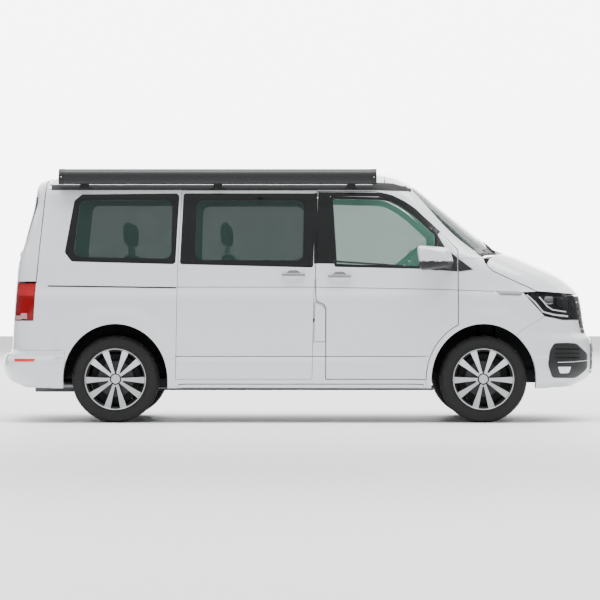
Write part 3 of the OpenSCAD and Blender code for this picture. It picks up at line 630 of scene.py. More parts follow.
def turned(section, steps, close=True):
    """Turns a section of (radius, height) points round the Z axis."""
    bm = bmesh.new()
    verts = [bm.verts.new((r, 0, z)) for r, z in section]
    edges = [bm.edges.new(pair) for pair in zip(verts, verts[1:])]
    if close:
        edges.append(bm.edges.new((verts[-1], verts[0])))
    bmesh.ops.spin(bm, geom=verts + edges, cent=(0, 0, 0), axis=(0, 0, 1),
                   angle=2 * math.pi, steps=steps, use_merge=True)
    bmesh.ops.remove_doubles(bm, verts=bm.verts, dist=1e-6)
    bmesh.ops.recalc_face_normals(bm, faces=bm.faces)
    return bm


def tyre_mesh():
    h, r = TYRE_HALF, TYRE_R
    tread = []
    for groove in (-0.056, -0.019, 0.019, 0.056):
        tread += [(r, groove - 0.005), (r - 0.007, groove - 0.004),
                  (r - 0.007, groove + 0.004), (r, groove + 0.005)]
    section = ([(0.228, -h + 0.02), (0.246, -h + 0.006), (0.262, -h + 0.004), (0.3, -h),
                (0.325, -h + 0.004), (0.343, -h + 0.016), (0.352, -h + 0.032)] + tread
               + [(0.352, h - 0.032), (0.343, h - 0.016), (0.33, h - 0.006), (0.326, h - 0.005),
                  (0.324, h - 0.003), (0.3, h), (0.272, h - 0.002), (0.27, h - 0.0045),
                  (0.262, h - 0.0045), (0.26, h - 0.002), (0.252, h - 0.003),
                  (0.246, h - 0.008), (0.228, h - 0.02)])
    bm = turned(section, TREAD_STEPS)
    for v in bm.verts:
        radius = math.hypot(v.co.x, v.co.y)
        step = round((math.atan2(v.co.y, v.co.x) / (2 * math.pi) % 1) * TREAD_STEPS)
        if step % CUT_EVERY == 0 and radius > SHOULDER_R and abs(v.co.z) > SHOULDER_Z:
            v.co.x *= (radius - CUT_DEPTH) / radius
            v.co.y *= (radius - CUT_DEPTH) / radius
    return bm


# %% [markdown]
# The rim's barrel is turned like the tyre. A spoke is a bar with four corners, drawn at five
# stations from the hub to the lip, where it gets wider and thicker. Two spokes lean together
# as a pair, and a pair is repeated five times.

# %% Rim
RIM_STEPS, LIP_R = 144, 0.2405
FIFTHS = [math.radians(90 + 72 * k) for k in range(5)]
PAIR_LEAN = math.radians(16)
# stations along a spoke: distance from the axle, half width, face height and back height
STATIONS = ((0.046, 0.011, 0.072, 0.045), (0.09, 0.0135, 0.074, 0.05),
            (0.15, 0.0185, 0.083, 0.055), (0.21, 0.0245, 0.093, 0.06),
            (0.2395, 0.0265, 0.1, 0.062))
BACK_SHARE = 0.55  # width of a spoke's back against its face


def rim_mesh():
    """Material 0 is the bright machined face, material 1 the black painted shade on the casting
    behind it.
    """
    h = TYRE_HALF
    bm = turned([(0.214, -h + 0.014), (0.227, -h + 0.014), (0.228, h - 0.02),
                 (0.246, h - 0.010), (0.2495, h - 0.006), (0.249, h - 0.002),
                 (0.2445, h - 0.0015), (0.2425, h - 0.004), (0.2405, h - 0.010),
                 (0.222, h - 0.034)], RIM_STEPS)
    for face in bm.faces:
        c = face.calc_center_median()
        r = math.hypot(c.x, c.y)
        # Painted shade: every face but the lip's face is black, standing for the shade in the
        # barrel.
        face.material_index = 0 if r > LIP_R and c.z > h - 0.008 else 1
    for pair in FIFTHS:
        for lean in (-PAIR_LEAN, PAIR_LEAN):
            turn = Matrix.Rotation(pair + lean, 4, "Z")
            rings = []
            for x, half, face_z, back_z in STATIONS:
                back = half * BACK_SHARE
                ring = [(half, face_z), (back, back_z), (-back, back_z), (-half, face_z)]
                rings.append([bm.verts.new(turn @ Vector((x, y, z))) for y, z in ring])
            new_faces = []
            for a, b in zip(rings, rings[1:]):
                for k in range(4):
                    face = bm.faces.new((a[k], a[(k + 1) % 4], b[(k + 1) % 4], b[k]))
                    # The sides and backs of the spokes are black as painted shade.
                    face.material_index = 0 if k == 3 else 1
                    new_faces.append(face)
            new_faces += [bm.faces.new(rings[0]), bm.faces.new(rings[-1])]
            new_faces[-1].material_index = new_faces[-2].material_index = 1
            bmesh.ops.recalc_face_normals(bm, faces=new_faces)
    return bm


# %% [markdown]
# A dark disc covers the middle of the rim, and it carries five bolts and a plain cap. A
# brake disc stands behind. Every part of a wheel rides on its own wheel body, so it turns.

# %% Four wheels
STUD_CIRCLE = 0.056
STUDS = [Matrix.Translation((STUD_CIRCLE * math.cos(a), STUD_CIRCLE * math.sin(a), 0))
         for a in FIFTHS]


def disc(radius, low, high, steps=48, chamfer=0.002):
    """A round plate or cap with a broken edge."""
    return turned([(0.0001, low), (radius, low), (radius, high - chamfer),
                   (radius - chamfer, high), (0.0001, high)], steps, close=False)


def joined(parts):
    """Several bmeshes as one."""
    result = bmesh.new()
    for part in parts:
        mesh = bpy.data.meshes.new("part")
        part.to_mesh(mesh)
        part.free()
        result.from_mesh(mesh)
        bpy.data.meshes.remove(mesh)
    return result


def moved(bm, matrix):
    bmesh.ops.transform(bm, matrix=matrix, verts=bm.verts)
    return bm


def wheel_matrix(x, side):
    turn = Matrix.Rotation(math.pi if side < 0 else 0, 4, "Z")
    turn = turn @ Matrix.Rotation(-math.pi / 2, 4, "X")
    return Matrix.Translation((x, side * TRACK, HUB_HEIGHT)) @ turn


AXLES = (("front", WHEEL_X / 1000), ("rear", -WHEEL_X / 1000))
for end, x in AXLES:
    for side_name, side in SIDES:
        place, body = wheel_matrix(x, side), f"wheel_{end}_{side_name}"
        label = f"{end}_{side_name}"
        piece("tyre_skin_" + label, moved(tyre_mesh(), place), [RUBBER], body,
              ("tyre_" + label,))
        piece("rim_skin_" + label, moved(rim_mesh(), place), [SILVER, GLOSS], body,
              ("rim_" + label,))
        hub = [disc(0.062, 0.043, 0.068)]
        hub += [moved(disc(0.0125, 0.05, 0.0715, 24), stud) for stud in STUDS]
        piece("wheel_hub_" + label, moved(joined(hub), place), [GLOSS], body)
        bolts = [moved(disc(0.0075, 0.06, 0.0745, 6, 0.001), stud) for stud in STUDS]
        bolts.append(disc(0.037, 0.06, 0.081, 64, 0.003))
        piece("wheel_cap_and_bolts_" + label, moved(joined(bolts), place), [SILVER], body)
        piece("brake_disc_" + label, moved(disc(0.148, 0.002, 0.028, 96), place), [DISC], body)
print("wheels made")

# %% [markdown]
# ## The running gear and the floor
#
# These CAD pieces have the right shape already. They only get their own materials: wax over
# black steel, coated floor, cast iron and stainless pipe.

# %% Materials for the CAD pieces that stay
KEPT = {"floor_pan": UNDER, "bulkhead": UNDER, "engine_block": DARK_METAL,
        "front_subframe": STEEL, "knuckle_right": DARK_METAL, "knuckle_left": DARK_METAL,
        "rear_axle": STEEL, "fuel_tank": BLACK, "exhaust": EXHAUST, "hinge_brackets": STEEL,
        "dashboard": BLACK, "steering_wheel": BLACK}
for node, material in KEPT.items():
    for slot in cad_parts[node].material_slots:
        slot.material = material
print("kept", len(KEPT))

# %% [markdown]
# ## Trims on the sides
#
# The black strip under the awning is the edge of the roof's gutter rail. A rail for the
# sliding door lies in the shoulder line of the rear quarter. The sills have a black underside.
# The black corner at the door mirror crosses the gap in front of the door, so it is two
# pieces: one rides on the door, and its tip stays on the pillar.

# %% Side trims
both("gutter_rail", band([(-2030, 1921), (600, 1921), (880, 1911)], 42), SEAL, lift=-2, thick=5,
     step=40)
both("sill_underside", oblong(-985, 284, 1012, 318, 4), BLACK, lift=-1, thick=2, step=60)
trim("sliding_door_rail", band([(-2050, 1114), (-1500, 1107), (-1003, 1100)], 11), "right",
     SEAL, lift=-1.0, thick=1.8)
trim("roof_seal", band([(600, 1950), (760, 1942), (917, 1898)], 26), "right", SEAL, lift=-2,
     thick=5)
# The thin grey line at the shoulder crease is painted shade.
both("shoulder_crease_painted_shade", band([(-1000, 1105), (130, 1105), (1121, 1087), (1590, 1070)], 5), TRIM,
     slot="white_paint", lift=-1.2, thick=1.7)
# The dark line along the step is painted shade: a black strip where the step's edge throws shade.
both("side_step_painted_shade_line", band([(-1010, 540), (1045, 540)], 6), SEAL, lift=-1.5, thick=1.8)
# The reflectors' faint glow is painted light.
both("rear_reflector_painted_glow", rounded([(-2320, 522), (-2148, 522), (-2162, 498), (-2322, 498)], 8),
     RED_BRIGHT, slot="lamp_red", thick=3.5, soften=1)
both("wing_side_badge", rounded([(1594, 1078), (1826, 1072), (1800, 1034), (1640, 1036)], 10),
     CHROME, thick=3.5, soften=1)
for side, _ in SIDES:
    body = "front_door_" + side
    trim("mirror_sail_" + side,
         rounded([(1123, 1540), (1188, 1428), (1286, 1346), (1286, 1232), (1128, 1244)], 6),
         side, BLACK, body, thick=4, step=40, soften=1)
    trim("mirror_sail_tip_" + side, rounded([(1297, 1337), (1416, 1248), (1297, 1231)], 6),
         side, BLACK, thick=4, step=40, soften=1)
    trim("door_belt_seal_" + side, band([(268, 1316), (700, 1287), (1128, 1248)], 14), side,
         SEAL, body, thick=3)
trim("fuel_flap_pull", oblong(112, 820, 124, 850, 4), "right", BLACK, "fuel_flap", thick=2)
print("side trims made")

# %% [markdown]
# A door handle is a bar over a shallow bowl. The bar is a rounded box that follows the skin,
# and the shade in the bowl is painted on a thin dark plate behind it.

# %% Handles
BAR_STEPS, BAR_SIDES, BAR_THICK = 8, 12, 8  # rings less one, corners of a ring, millimetres


def bar(name, facing, u0, u1, v, width, stand, material, body):
    """A rounded bar across the skin, standing off by its own thickness."""
    bm = bmesh.new()
    rings = []
    for k in range(BAR_STEPS + 1):
        t = k / BAR_STEPS
        u = u0 + (u1 - u0) * t
        place, normal = skin_at(facing, u, v)
        up = Vector((0, 0, 1)) - normal * normal.z
        swell = math.sin(math.pi * t) ** 0.4 if 0 < t < 1 else 0.25
        centre = place + normal * (stand * (0.2 + 0.8 * swell)) / 1000
        rings.append([bm.verts.new(centre + (up * math.cos(a) * width / 2 * (0.6 + 0.4 * swell)
                                             + normal * math.sin(a) * BAR_THICK) / 1000)
                      for a in [2 * math.pi * i / BAR_SIDES for i in range(BAR_SIDES)]])
    for a, b in zip(rings, rings[1:]):
        for i in range(BAR_SIDES):
            j = (i + 1) % BAR_SIDES
            bm.faces.new((a[i], a[j], b[j], b[i]))
    bm.faces.new(rings[0])
    bm.faces.new(rings[-1])
    bmesh.ops.recalc_face_normals(bm, faces=bm.faces)
    return piece(name, bm, [material], body)


for name, facing, body, u0, u1, v in (
        ("sliding_door_handle", "right", "shell", -145, 46, 1204),
        ("front_door_handle_right", "right", "front_door_right", 232, 422, 1192),
        ("front_door_handle_left", "left", "front_door_left", 232, 422, 1192)):
    middle = (u0 + u1) / 2
    # The plate in the bowl is painted shade, darker than the paint round it.
    trim(name + "_bowl_painted_shade", rounded([(middle - 62, v - 8), (middle - 44, v + 38),
                                  (middle + 44, v + 38), (middle + 62, v - 8)], 30), facing,
         SATIN_AND_SHADE, body, thick=1.8)
    bar(name, facing, u0, u1, v, 27, 26, SATIN_AND_SHADE, body)
print("handles made")

# %% [markdown]
# ## Lamps, grille and bumper details
#
# A lamp is a housing, a reflector and a clear or coloured lens. The CAD solid's outer face
# becomes the lens, its other faces the housing. The light guides lie just inside.

# %% Lamps
smooth_panel("headlamps", "shell", (LENS, LAMP_DARK, LAMP_DARK, GLOSS), 0.0012)
smooth_panel("tail_lamps", "shell", (RED_LENS, RED_DARK, RED_DARK, GLOSS), 0.0012)
both("headlamp_housing", rounded([(1826, 1056), (1935, 1058), (2240, 1034), (2235, 858),
                                  (2160, 848), (2000, 880)], 10), LAMP_DARK,
     slot="lamp_clear", lift=-34, thick=3)
both("headlamp_light_guide",
     band([(1850, 1048), (1920, 985), (1990, 905), (2090, 880), (2215, 868)], 13), GUIDE,
     slot="lamp_clear", lift=-20, thick=8)
both("headlamp_inner_guide", band([(1960, 1030), (2030, 950), (2075, 922), (2200, 905)], 9),
     GUIDE, slot="lamp_clear", lift=-20, thick=6)
both("headlamp_main_lens", oblong(2005, 968, 2085, 1036, 26), CHROME, slot="lamp_clear",
     lift=-22, thick=6, soften=2)
both("headlamp_side_lens", oblong(2110, 955, 2180, 1026, 24), LAMP_DARK, slot="lamp_clear",
     lift=-22, thick=8, soften=2)
both("tail_lamp_upper", oblong(-2276, 1036, -2153, 1130, 6), RED_BRIGHT, slot="lamp_red",
     lift=-14, thick=6)
both("tail_lamp_lower", oblong(-2276, 840, -2155, 1030, 6), RED_DARK, slot="lamp_red",
     lift=-14, thick=6)
both("tail_lamp_clear", oblong(-2276, 846, -2220, 892, 6), GUIDE, slot="lamp_red", lift=-7,
     thick=3)
for side, sign in SIDES:
    for name, bottom, top, material, lift in (("rear_band", 1036, 1130, RED_BRIGHT, -14),
                                              ("rear_low", 880, 1030, RED_DARK, -14),
                                              ("reverse", 840, 874, GUIDE, -12)):
        trim(f"tail_lamp_{name}_{side}", oblong(sign * 700, bottom, sign * 890, top, 6),
             "rear", material, slot="lamp_red", lift=lift, thick=6)
print("lamps made")

# %% [markdown]
# The grille is a dark moulding with bright bars across it. The lower intake and the fog lamp
# recesses are black plastic set into the bumper skin.

# %% Front end
smooth_panel("grille", "shell", (GLOSS, BLACK, BLACK, BLACK))
for k, z in enumerate((760, 815, 870, 925, 980)):
    trim(f"grille_bar_{k}", band([(-540, z), (540, z)], 12), "front",
         CHROME if k in (0, 4) else GLOSS, slot="trim_plastic", lift=-3, thick=10, soften=2)
trim("lower_intake", rounded([(-470, 640), (470, 640), (540, 400), (-540, 400)], 40), "front",
     BLACK, thick=3, step=60)
for k, z in enumerate((450, 510, 570)):
    trim(f"intake_bar_{k}", band([(-460, z), (460, z)], 14), "front", GLOSS, thick=4, step=60)
trim("front_plate", oblong(-260, 560, 260, 670, 12), "front", PLATE, lift=3, thick=6)
both("fog_recess", rounded([(2021, 475), (2040, 590), (2075, 648), (2180, 650), (2270, 644),
                            (2330, 590), (2370, 560), (2372, 440), (2320, 400), (2265, 362),
                            (2060, 366)], 22), BLACK, lift=-2, thick=5.5, soften=1)
for k, z in enumerate((600, 565, 530)):
    both(f"fog_louvre_{k}", band([(2085, z), (2290, z - 3)], 9), GLOSS, lift=2, thick=5)
both("fog_chrome_strip", band([(2100, 493), (2250, 497), (2365, 505)], 9), CHROME, lift=2,
     thick=6, soften=1)
both("fog_lamp", rounded([(2104, 455), (2216, 455), (2196, 406), (2124, 404)], 9), GUIDE,
     slot="lamp_clear", lift=2, thick=4, soften=1)
print("front end made")

# %% [markdown]
# ## The rear face
#
# The tailgate has a handle over a blank plate, a brake light at the top of the glass, and a
# wiper. The bumper has a black load strip and reflectors.

# %% Rear face
trim("tailgate_handle", oblong(-170, 1000, 170, 1042, 12), "rear", CHROME, "tailgate",
     thick=14, soften=3)
trim("rear_plate", oblong(-260, 850, 260, 960, 12), "rear", PLATE, "tailgate", lift=2,
     thick=5)
trim("high_brake_light", oblong(-150, 1868, 150, 1886, 6), "rear", RED_BRIGHT, "tailgate",
     "lamp_red", thick=5)
trim("rear_wiper_arm", band([(0, 1296), (-60, 1330), (-420, 1375)], 16), "rear", SEAL,
     "tailgate", lift=3, thick=9, soften=2)
trim("rear_wiper_blade", band([(-180, 1352), (-560, 1400)], 9), "rear", SEAL, "tailgate",
     lift=1, thick=6)
trim("rear_bumper_step", oblong(-640, 566, 640, 582, 6), "rear", BLACK, thick=4, step=60)
print("rear face made")

# %% [markdown]
# ## The awning case
#
# The case is an extruded aluminium box with a rounded front. A slot under the front lets the
# canvas out, the two ends are moulded caps with a screw, and brackets carry it on the rail.
# It is made here as it is in the factory, by pulling one section along. The end caps use
# the same section at full size, and the case between them is 1.5 mm smaller.

# %% Awning
low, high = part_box("awning")
CASE_HEIGHT = 0.130
case_y, case_z = low[1], high[2] - CASE_HEIGHT
CASE_SECTION = [(0.112, 0.004), (0.020, 0.000), (0.008, 0.008), (0.002, 0.024), (0.000, 0.045),
                (0.000, 0.072), (0.004, 0.092), (0.012, 0.108), (0.026, 0.120), (0.046, 0.128),
                (0.072, 0.130), (0.096, 0.126), (0.108, 0.114), (0.112, 0.098)]


def along_x(section, x0, x1, grow=0.0):
    """Extrudes a section of (y, z) points along X, as the case is extruded."""
    bm = bmesh.new()
    middle = Vector((0.056, 0.065))
    ring = []
    for y, z in section:
        out = (Vector((y, z)) - middle).normalized() * grow
        ring.append(bm.verts.new((x0, case_y + y + out.x, case_z + z + out.y)))
    for v in pulled(bm, [bm.faces.new(ring)]):
        v.co.x = x1
    bmesh.ops.recalc_face_normals(bm, faces=bm.faces)
    return bm


case_x0, case_x1 = low[0], high[0]
piece("awning_case", along_x(CASE_SECTION, case_x0 + 0.02, case_x1 - 0.02, -0.0015), [AWNING],
      "shell", ("awning",))
piece("awning_end_caps", joined([along_x(CASE_SECTION, case_x0, case_x0 + 0.045),
                                 along_x(CASE_SECTION, case_x1 - 0.045, case_x1)]),
      [BLACK], "shell")
slot_section = [(-0.0005, 0.030), (0.006, 0.014), (0.014, 0.006), (0.016, 0.012), (0.004, 0.032)]
piece("awning_front_rail", along_x(slot_section, case_x0 + 0.045, case_x1 - 0.045), [BLACK],
      "shell")
screws = []
for x in (case_x0 + 0.022, case_x1 - 0.022):
    face_out = Matrix.Translation((x, case_y, case_z + 0.06))
    face_out = face_out @ Matrix.Rotation(math.pi / 2, 4, "X")
    screws.append(moved(disc(0.0055, -0.004, 0.0012, 20, 0.0005), face_out))
piece("awning_screws", joined(screws), [SILVER], "shell")
feet = []
for share in (0.08, 0.5, 0.92):
    x = case_x0 + (case_x1 - case_x0) * share
    feet.append(cuboid((0.07, 0.09, 0.05), (x, case_y + 0.085, case_z - 0.012)))
piece("awning_brackets", joined(feet), [SEAL], "shell")
print("awning", round(case_x1 - case_x0, 3), "long")

# %% [markdown]
# ## Black frames round the glass
#
# The pillar between the door windows is covered with black foil, and a black frame runs round
# the door glass. A dark plastic panel with the wipers lies at the foot of the windscreen.

# %% Pillar covers and screen foot
for side, _ in SIDES:
    body = "front_door_" + side
    trim("pillar_cover_" + side, rounded([(154, 1872), (250, 1872), (284, 1296), (146, 1298),
                                          (134, 1420)], 6), side, FRIT, body, lift=-1.5, thick=3.2)
    trim("door_frame_" + side, band([(154, 1866), (640, 1862), (753, 1840), (847, 1792),
                                     (940, 1727), (1034, 1644), (1140, 1546)], 32), side,
         FRIT, body, lift=-1.5, thick=3.2)
trim("sliding_door_pillar_cover", oblong(118, 1296, 146, 1874, 5), "right", FRIT, lift=-1.5,
     thick=3.2)
both("screen_foot", band([(1490, 1364), (1560, 1398)], 26), BLACK, thick=6)
trim("cowl_panel", band([(1545, -700), (1640, -350), (1668, 0), (1640, 350), (1545, 700)], 90),
     "top", BLACK, thick=3, step=50)
for name, y0, y1 in (("wiper_right", -640, -60), ("wiper_left", 20, 640)):
    trim(name, band([(1600, y0), (1540, (y0 + y1) / 2), (1500, y1)], 16), "top", SEAL, lift=3,
         thick=14, step=50, soften=2)
print("frames made")

# %% [markdown]
# ## Door mirrors
#
# A mirror housing is a soft, rounded shell on a short arm. The CAD housing is split finely
# and its points are relaxed, which rounds it. The glass is a thin plate at its rear.

# %% Mirrors
MIRROR_EDGE = 0.02  # longest edge that isn't split
MIRROR_SPLIT = 1.315  # height of the seam between the painted cap and the black foot
for side_name, side in SIDES:
    node, body = "mirror_" + side_name, "front_door_" + side_name
    bm = bmesh.new()
    bm.from_mesh(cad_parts[node].data)
    bmesh.ops.remove_doubles(bm, verts=bm.verts, dist=2e-5)
    for _ in range(3):
        halved(bm, [e for e in bm.edges if e.calc_length() > MIRROR_EDGE])
    for _ in range(6):
        bmesh.ops.smooth_vert(bm, verts=bm.verts, factor=0.5, use_axis_x=True,
                              use_axis_y=True, use_axis_z=True)
    bmesh.ops.recalc_face_normals(bm, faces=bm.faces)
    for face in bm.faces:
        face.material_index = int(face.calc_center_median().z > MIRROR_SPLIT)
    piece(node + "_housing", bm, [BLACK, PAINT], body, (node,))
    low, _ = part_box(node)
    glass = cuboid((0.004, 0.125, 0.11))
    corners = [e for e in glass.edges if abs(e.verts[0].co.x - e.verts[1].co.x) > 0.003]
    soft_edges(glass, corners, 0.03, 5)
    tilt = Matrix.Rotation(math.radians(-8), 4, "Y")
    middle = Vector((low[0] + 0.022, side * 1.052, 1.345))
    piece(node + "_glass", moved(glass, Matrix.Translation(middle) @ tilt), [MIRROR_GLASS],
          body)
print("mirrors made")

# %% [markdown]
# ## Under the wheels and the bonnet
#
# A pressed shield stands behind each brake disc, and the gearbox fills the space beside the
# engine. Both are dark, and they close the view through the wheels.

# %% Shields and gearbox
for end, x in AXLES:
    for side_name, side in SIDES:
        body = "knuckle_" + side_name if end == "front" else "shell"
        shield = disc(0.205, -0.03, -0.022, 64)
        piece(f"brake_shield_{end}_{side_name}", moved(shield, wheel_matrix(x, side)), [STEEL],
              body)
gearbox = bmesh.new()
bmesh.ops.create_cube(gearbox, size=1)
soft_edges(gearbox, gearbox.edges[:], 0.12, 3)
bmesh.ops.scale(gearbox, vec=(0.150, 0.6, 0.5), verts=gearbox.verts)
bmesh.ops.translate(gearbox, vec=(1.552, 0, 0.70), verts=gearbox.verts)
piece("gearbox", gearbox, [DARK_METAL], "shell")
print("shields made")

# %% [markdown]
# ## Seats
#
# A seat is foam under sewn cloth. Each pad starts as a block a little smaller than its CAD
# space, and its surface is split evenly. The cloth simulation then inflates it, while the
# points on the seams are held. The foam swells between the seams, as it does on the real
# seat. The distance that a point may move is limited, so the pad keeps its size. Sculpting
# would give the same look, but a simulation gives the same pad on every run.

# %% Padded blocks
SWELL_LIMIT, SEAM_WIDTH = 0.022, 0.007  # furthest move of a point, half width of a seam
VOXEL, PRESSURE, FRAMES = 0.012, 4, 20
PAD_SHRINK, PAD_ROUND = 16, 0.028  # millimetres inside the CAD space, radius of the edges


def block(outline, half_width, shrink):
    """A block with an outline in (x, z) millimetres, its edges rounded."""
    centre = sum((Vector(p) for p in outline), Vector((0, 0))) / len(outline)
    bm = bmesh.new()
    ring = []
    for p in outline:
        toward = Vector(p) - centre
        p = centre + toward * (1 - shrink / toward.length)
        ring.append(bm.verts.new((p.x / 1000, -(half_width - shrink) / 1000, p.y / 1000)))
    for v in pulled(bm, [bm.faces.new(ring)]):
        v.co.y = (half_width - shrink) / 1000
    bmesh.ops.recalc_face_normals(bm, faces=bm.faces)
    soft_edges(bm, bm.edges[:], PAD_ROUND, 3, clamp=True)
    return bm


def on_seam(co, lines):
    return any(abs(co.dot(Vector(axis)) - place / 1000) < SEAM_WIDTH for axis, place in lines)


def stuffed(outline, half_width, lines):
    """Inflates a block by cloth simulation and gives the mesh of the result."""
    mesh = bpy.data.meshes.new("pad")
    bm = block(outline, half_width, PAD_SHRINK)
    bm.to_mesh(mesh)
    bm.free()
    obj = bpy.data.objects.new("pad", mesh)
    bpy.context.scene.collection.objects.link(obj)
    remesh = obj.modifiers.new("voxels", "REMESH")
    remesh.mode, remesh.voxel_size, remesh.use_smooth_shade = "VOXEL", VOXEL, True
    start = bpy.data.meshes.new_from_object(
        obj.evaluated_get(bpy.context.evaluated_depsgraph_get()))
    obj.modifiers.clear()
    obj.data = start
    group = obj.vertex_groups.new(name="seam")
    group.add([v.index for v in start.vertices if on_seam(v.co, lines)], 1.0, "REPLACE")
    cloth = obj.modifiers.new("cloth", "CLOTH")
    cloth.settings.use_pressure = True
    cloth.settings.uniform_pressure_force = PRESSURE
    cloth.settings.quality = 4
    cloth.settings.effector_weights.gravity = 0
    cloth.settings.vertex_group_mass = "seam"
    cloth.point_cache.frame_start, cloth.point_cache.frame_end = 1, FRAMES
    for number in range(1, FRAMES + 1):
        bpy.context.scene.frame_set(number)
    result = bpy.data.meshes.new_from_object(
        obj.evaluated_get(bpy.context.evaluated_depsgraph_get()))
    for before, after in zip(start.vertices, result.vertices):
        move = after.co - before.co
        if move.length > SWELL_LIMIT:
            after.co = before.co + move.normalized() * SWELL_LIMIT
    bpy.data.objects.remove(obj)
    bpy.context.scene.frame_set(1)
    return result


# %% [markdown]
# Five pads serve all the seats. An outline is the side view of a pad in millimetres, from the
# seat's own corner on the floor. A seam is a plane, given by its direction and its place.

# %% Five pads
CUSHION = [(-50, 262), (480, 262), (492, 415), (-18, 398)]
BACK = [(-84, 285), (24, 370), (-64, 1000), (-172, 992)]
HEADREST = [(-84, 1050), (-98, 1270), (-172, 1270), (-172, 1050)]
across, along, upward = (0, 1, 0), (1, 0, 0), (0, 0, 1)
pads = {
    "cushion": stuffed(CUSHION, 246, [(across, -150), (across, 150), (along, 60), (along, 330)]),
    "back": stuffed(BACK, 246, [(across, -150), (across, 150), (upward, 480), (upward, 820)]),
    "headrest": stuffed(HEADREST, 138, [(upward, 1085)]),
    "bench_cushion": stuffed(CUSHION, 551, [(across, -185), (across, 185), (along, 60)]),
    "bench_back": stuffed(BACK, 551, [(across, -185), (across, 185), (upward, 820)]),
}
print("pads", {name: len(mesh.vertices) for name, mesh in pads.items()})


# %% [markdown]
# Each pad is copied to its places. A plinth carries the cushion, and two posts carry each
# headrest.

# %% Seats in their places
PLINTH_SIZE, PLINTH_MIDDLE = (0.40, 0.249), (0.21, 0.1255)  # along X and Z, in metres
POST_R, POST_LOW, POST_HIGH, POST_X, POST_Y = 0.006, 0.96, 1.08, -0.125, 0.06


def set_pad(name, kind, x, y, z, node):
    """Places one copy of a pad on the floor of the cabin."""
    bm = bmesh.new()
    bm.from_mesh(pads[kind])
    bmesh.ops.translate(bm, vec=(x, y, z), verts=bm.verts)
    obj = piece(name, bm, [CLOTH], "shell", (node,))
    smooth = obj.modifiers.new("smooth", "SUBSURF")
    smooth.levels = smooth.render_levels = 1


def seat_frame(name, x, y, z, half_width, heads):
    """The plinth and the headrest posts of a seat."""
    plinth = cuboid((PLINTH_SIZE[0], 2 * half_width, PLINTH_SIZE[1]),
                    (x + PLINTH_MIDDLE[0], y, z + PLINTH_MIDDLE[1]))
    soft_edges(plinth, plinth.edges[:], 0.012, 2)
    piece(name + "_plinth", plinth, [BLACK], "shell")
    posts = []
    for head in heads:
        for side in (-POST_Y, POST_Y):
            post = disc(POST_R, POST_LOW, POST_HIGH, 12)
            posts.append(moved(post, Matrix.Translation((x + POST_X, y + head + side, z))))
    piece(name + "_headrest_posts", joined(posts), [CHROME], "shell")


FLOOR_Z = 0.392
for row, x, offset, node in (("front", 0.26, 0.40, "front_seats"),
                             ("middle", -0.48, 0.42, "middle_seats")):
    for side_name, side in SIDES:
        name = f"{row}_seat_{side_name}"
        for kind in ("cushion", "back", "headrest"):
            set_pad(f"{name}_{kind}", kind, x, side * offset, FLOOR_Z, node)
        seat_frame(name, x, side * offset, FLOOR_Z, 0.19, [0])
bench_x, BENCH_HEADS = -1.29, (-0.37, 0, 0.37)
set_pad("rear_bench_cushion", "bench_cushion", bench_x, 0, FLOOR_Z, "rear_bench")
set_pad("rear_bench_back", "bench_back", bench_x, 0, FLOOR_Z, "rear_bench")
for k, y in enumerate(BENCH_HEADS):
    set_pad(f"rear_bench_headrest_{k}", "headrest", bench_x, y, FLOOR_Z, "rear_bench")
seat_frame("rear_bench", bench_x, 0, FLOOR_Z, 0.53, BENCH_HEADS)
print("seats made")

# %% [markdown]
# ## Floor, light and camera
#
# The van stands on a plain white studio floor, under a wide, soft light from above. The world
# gets brighter towards the zenith and is brightest behind the van, as a lit white wall is.
# Three area lights add to it. One large sky texture would be simpler, but white paint needs
# a dark and a light direction to show its shape.

# %% Studio
FLOOR_HALF = 60  # metres from the middle to the edge, so that the edge is out of sight
floor = bmesh.new()
bmesh.ops.create_grid(floor, x_segments=2, y_segments=2, size=FLOOR_HALF)
floor_mesh = bpy.data.meshes.new("studio_floor")
floor.to_mesh(floor_mesh)
floor.free()
floor_mesh.materials.append(FLOOR)
floor_object = bpy.data.objects.new("studio_floor", floor_mesh)
bpy.context.scene.collection.objects.link(floor_object)

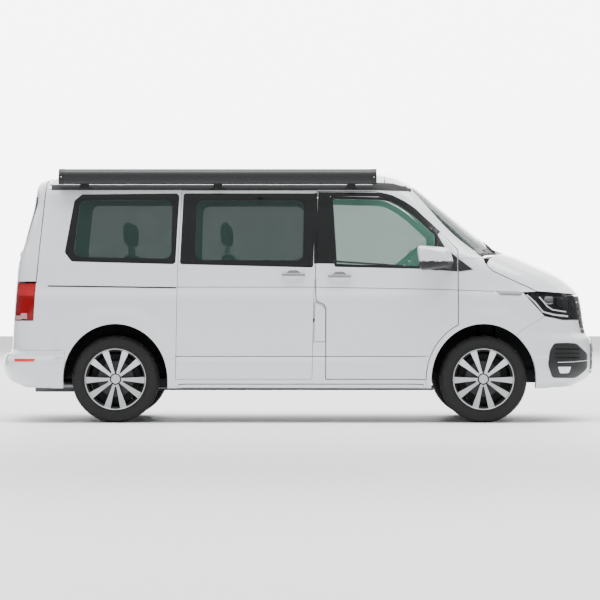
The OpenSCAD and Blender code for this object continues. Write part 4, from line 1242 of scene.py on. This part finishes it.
world = bpy.data.worlds.new("soft_white_room")
bpy.context.scene.world = world
world.use_nodes = True
world.node_tree.nodes.clear()
ray = add(world.node_tree, "ShaderNodeTexCoord")
axes = add(world.node_tree, "ShaderNodeSeparateXYZ", (), {"Vector": ray.outputs["Generated"]})
ceiling = add(world.node_tree, "ShaderNodeMapRange",
              {"From Min": 0.0, "From Max": 1.0, "To Min": 0.04, "To Max": 1.5},
              {"Value": axes.outputs["Z"]})
backdrop = add(world.node_tree, "ShaderNodeMapRange",
               {"From Min": 0.93, "From Max": 0.985, "To Min": 0.0, "To Max": 7.0},
               {"Value": axes.outputs["Y"]})
total = add(world.node_tree, "ShaderNodeMath", {"operation": "ADD"},
            {0: ceiling.outputs["Result"], 1: backdrop.outputs["Result"]})
room = add(world.node_tree, "ShaderNodeBackground", {"Color": linear("#FFFFFF")},
           {"Strength": total.outputs["Value"]})
add(world.node_tree, "ShaderNodeOutputWorld", (), {"Surface": room.outputs["Background"]})


def soft_light(name, place, target, width, height, power):
    lamp = bpy.data.lights.new(name, "AREA")
    lamp.shape, lamp.size, lamp.size_y, lamp.energy = "RECTANGLE", width, height, power
    obj = bpy.data.objects.new(name, lamp)
    obj.location = place
    obj.rotation_euler = (Vector(target) - Vector(place)).to_track_quat("-Z", "Y").to_euler()
    bpy.context.scene.collection.objects.link(obj)


# place, target, width and height in metres, power in watts
soft_light("ceiling_light", (0, -1.4, 6.5), (0, -1.4, 0), 10, 3, 900)
soft_light("near_floor_light", (0, -14.5, 3.0), (0, -14.5, 0), 16, 9, 700)
soft_light("far_floor_light", (0, 16, 6.0), (0, 16, 0), 30, 24, 5500)

# %% [markdown]
# A long lens far away keeps the side view nearly free of perspective.

# %% Camera
camera_data = bpy.data.cameras.new("side_camera")
camera_data.sensor_width, camera_data.lens = 36, 187.0
camera = bpy.data.objects.new("side_camera", camera_data)
camera.location = (0.0045, -26.3, 1.0)
camera.rotation_euler = (math.pi / 2, 0, 0)
bpy.context.scene.collection.objects.link(camera)
bpy.context.scene.camera = camera
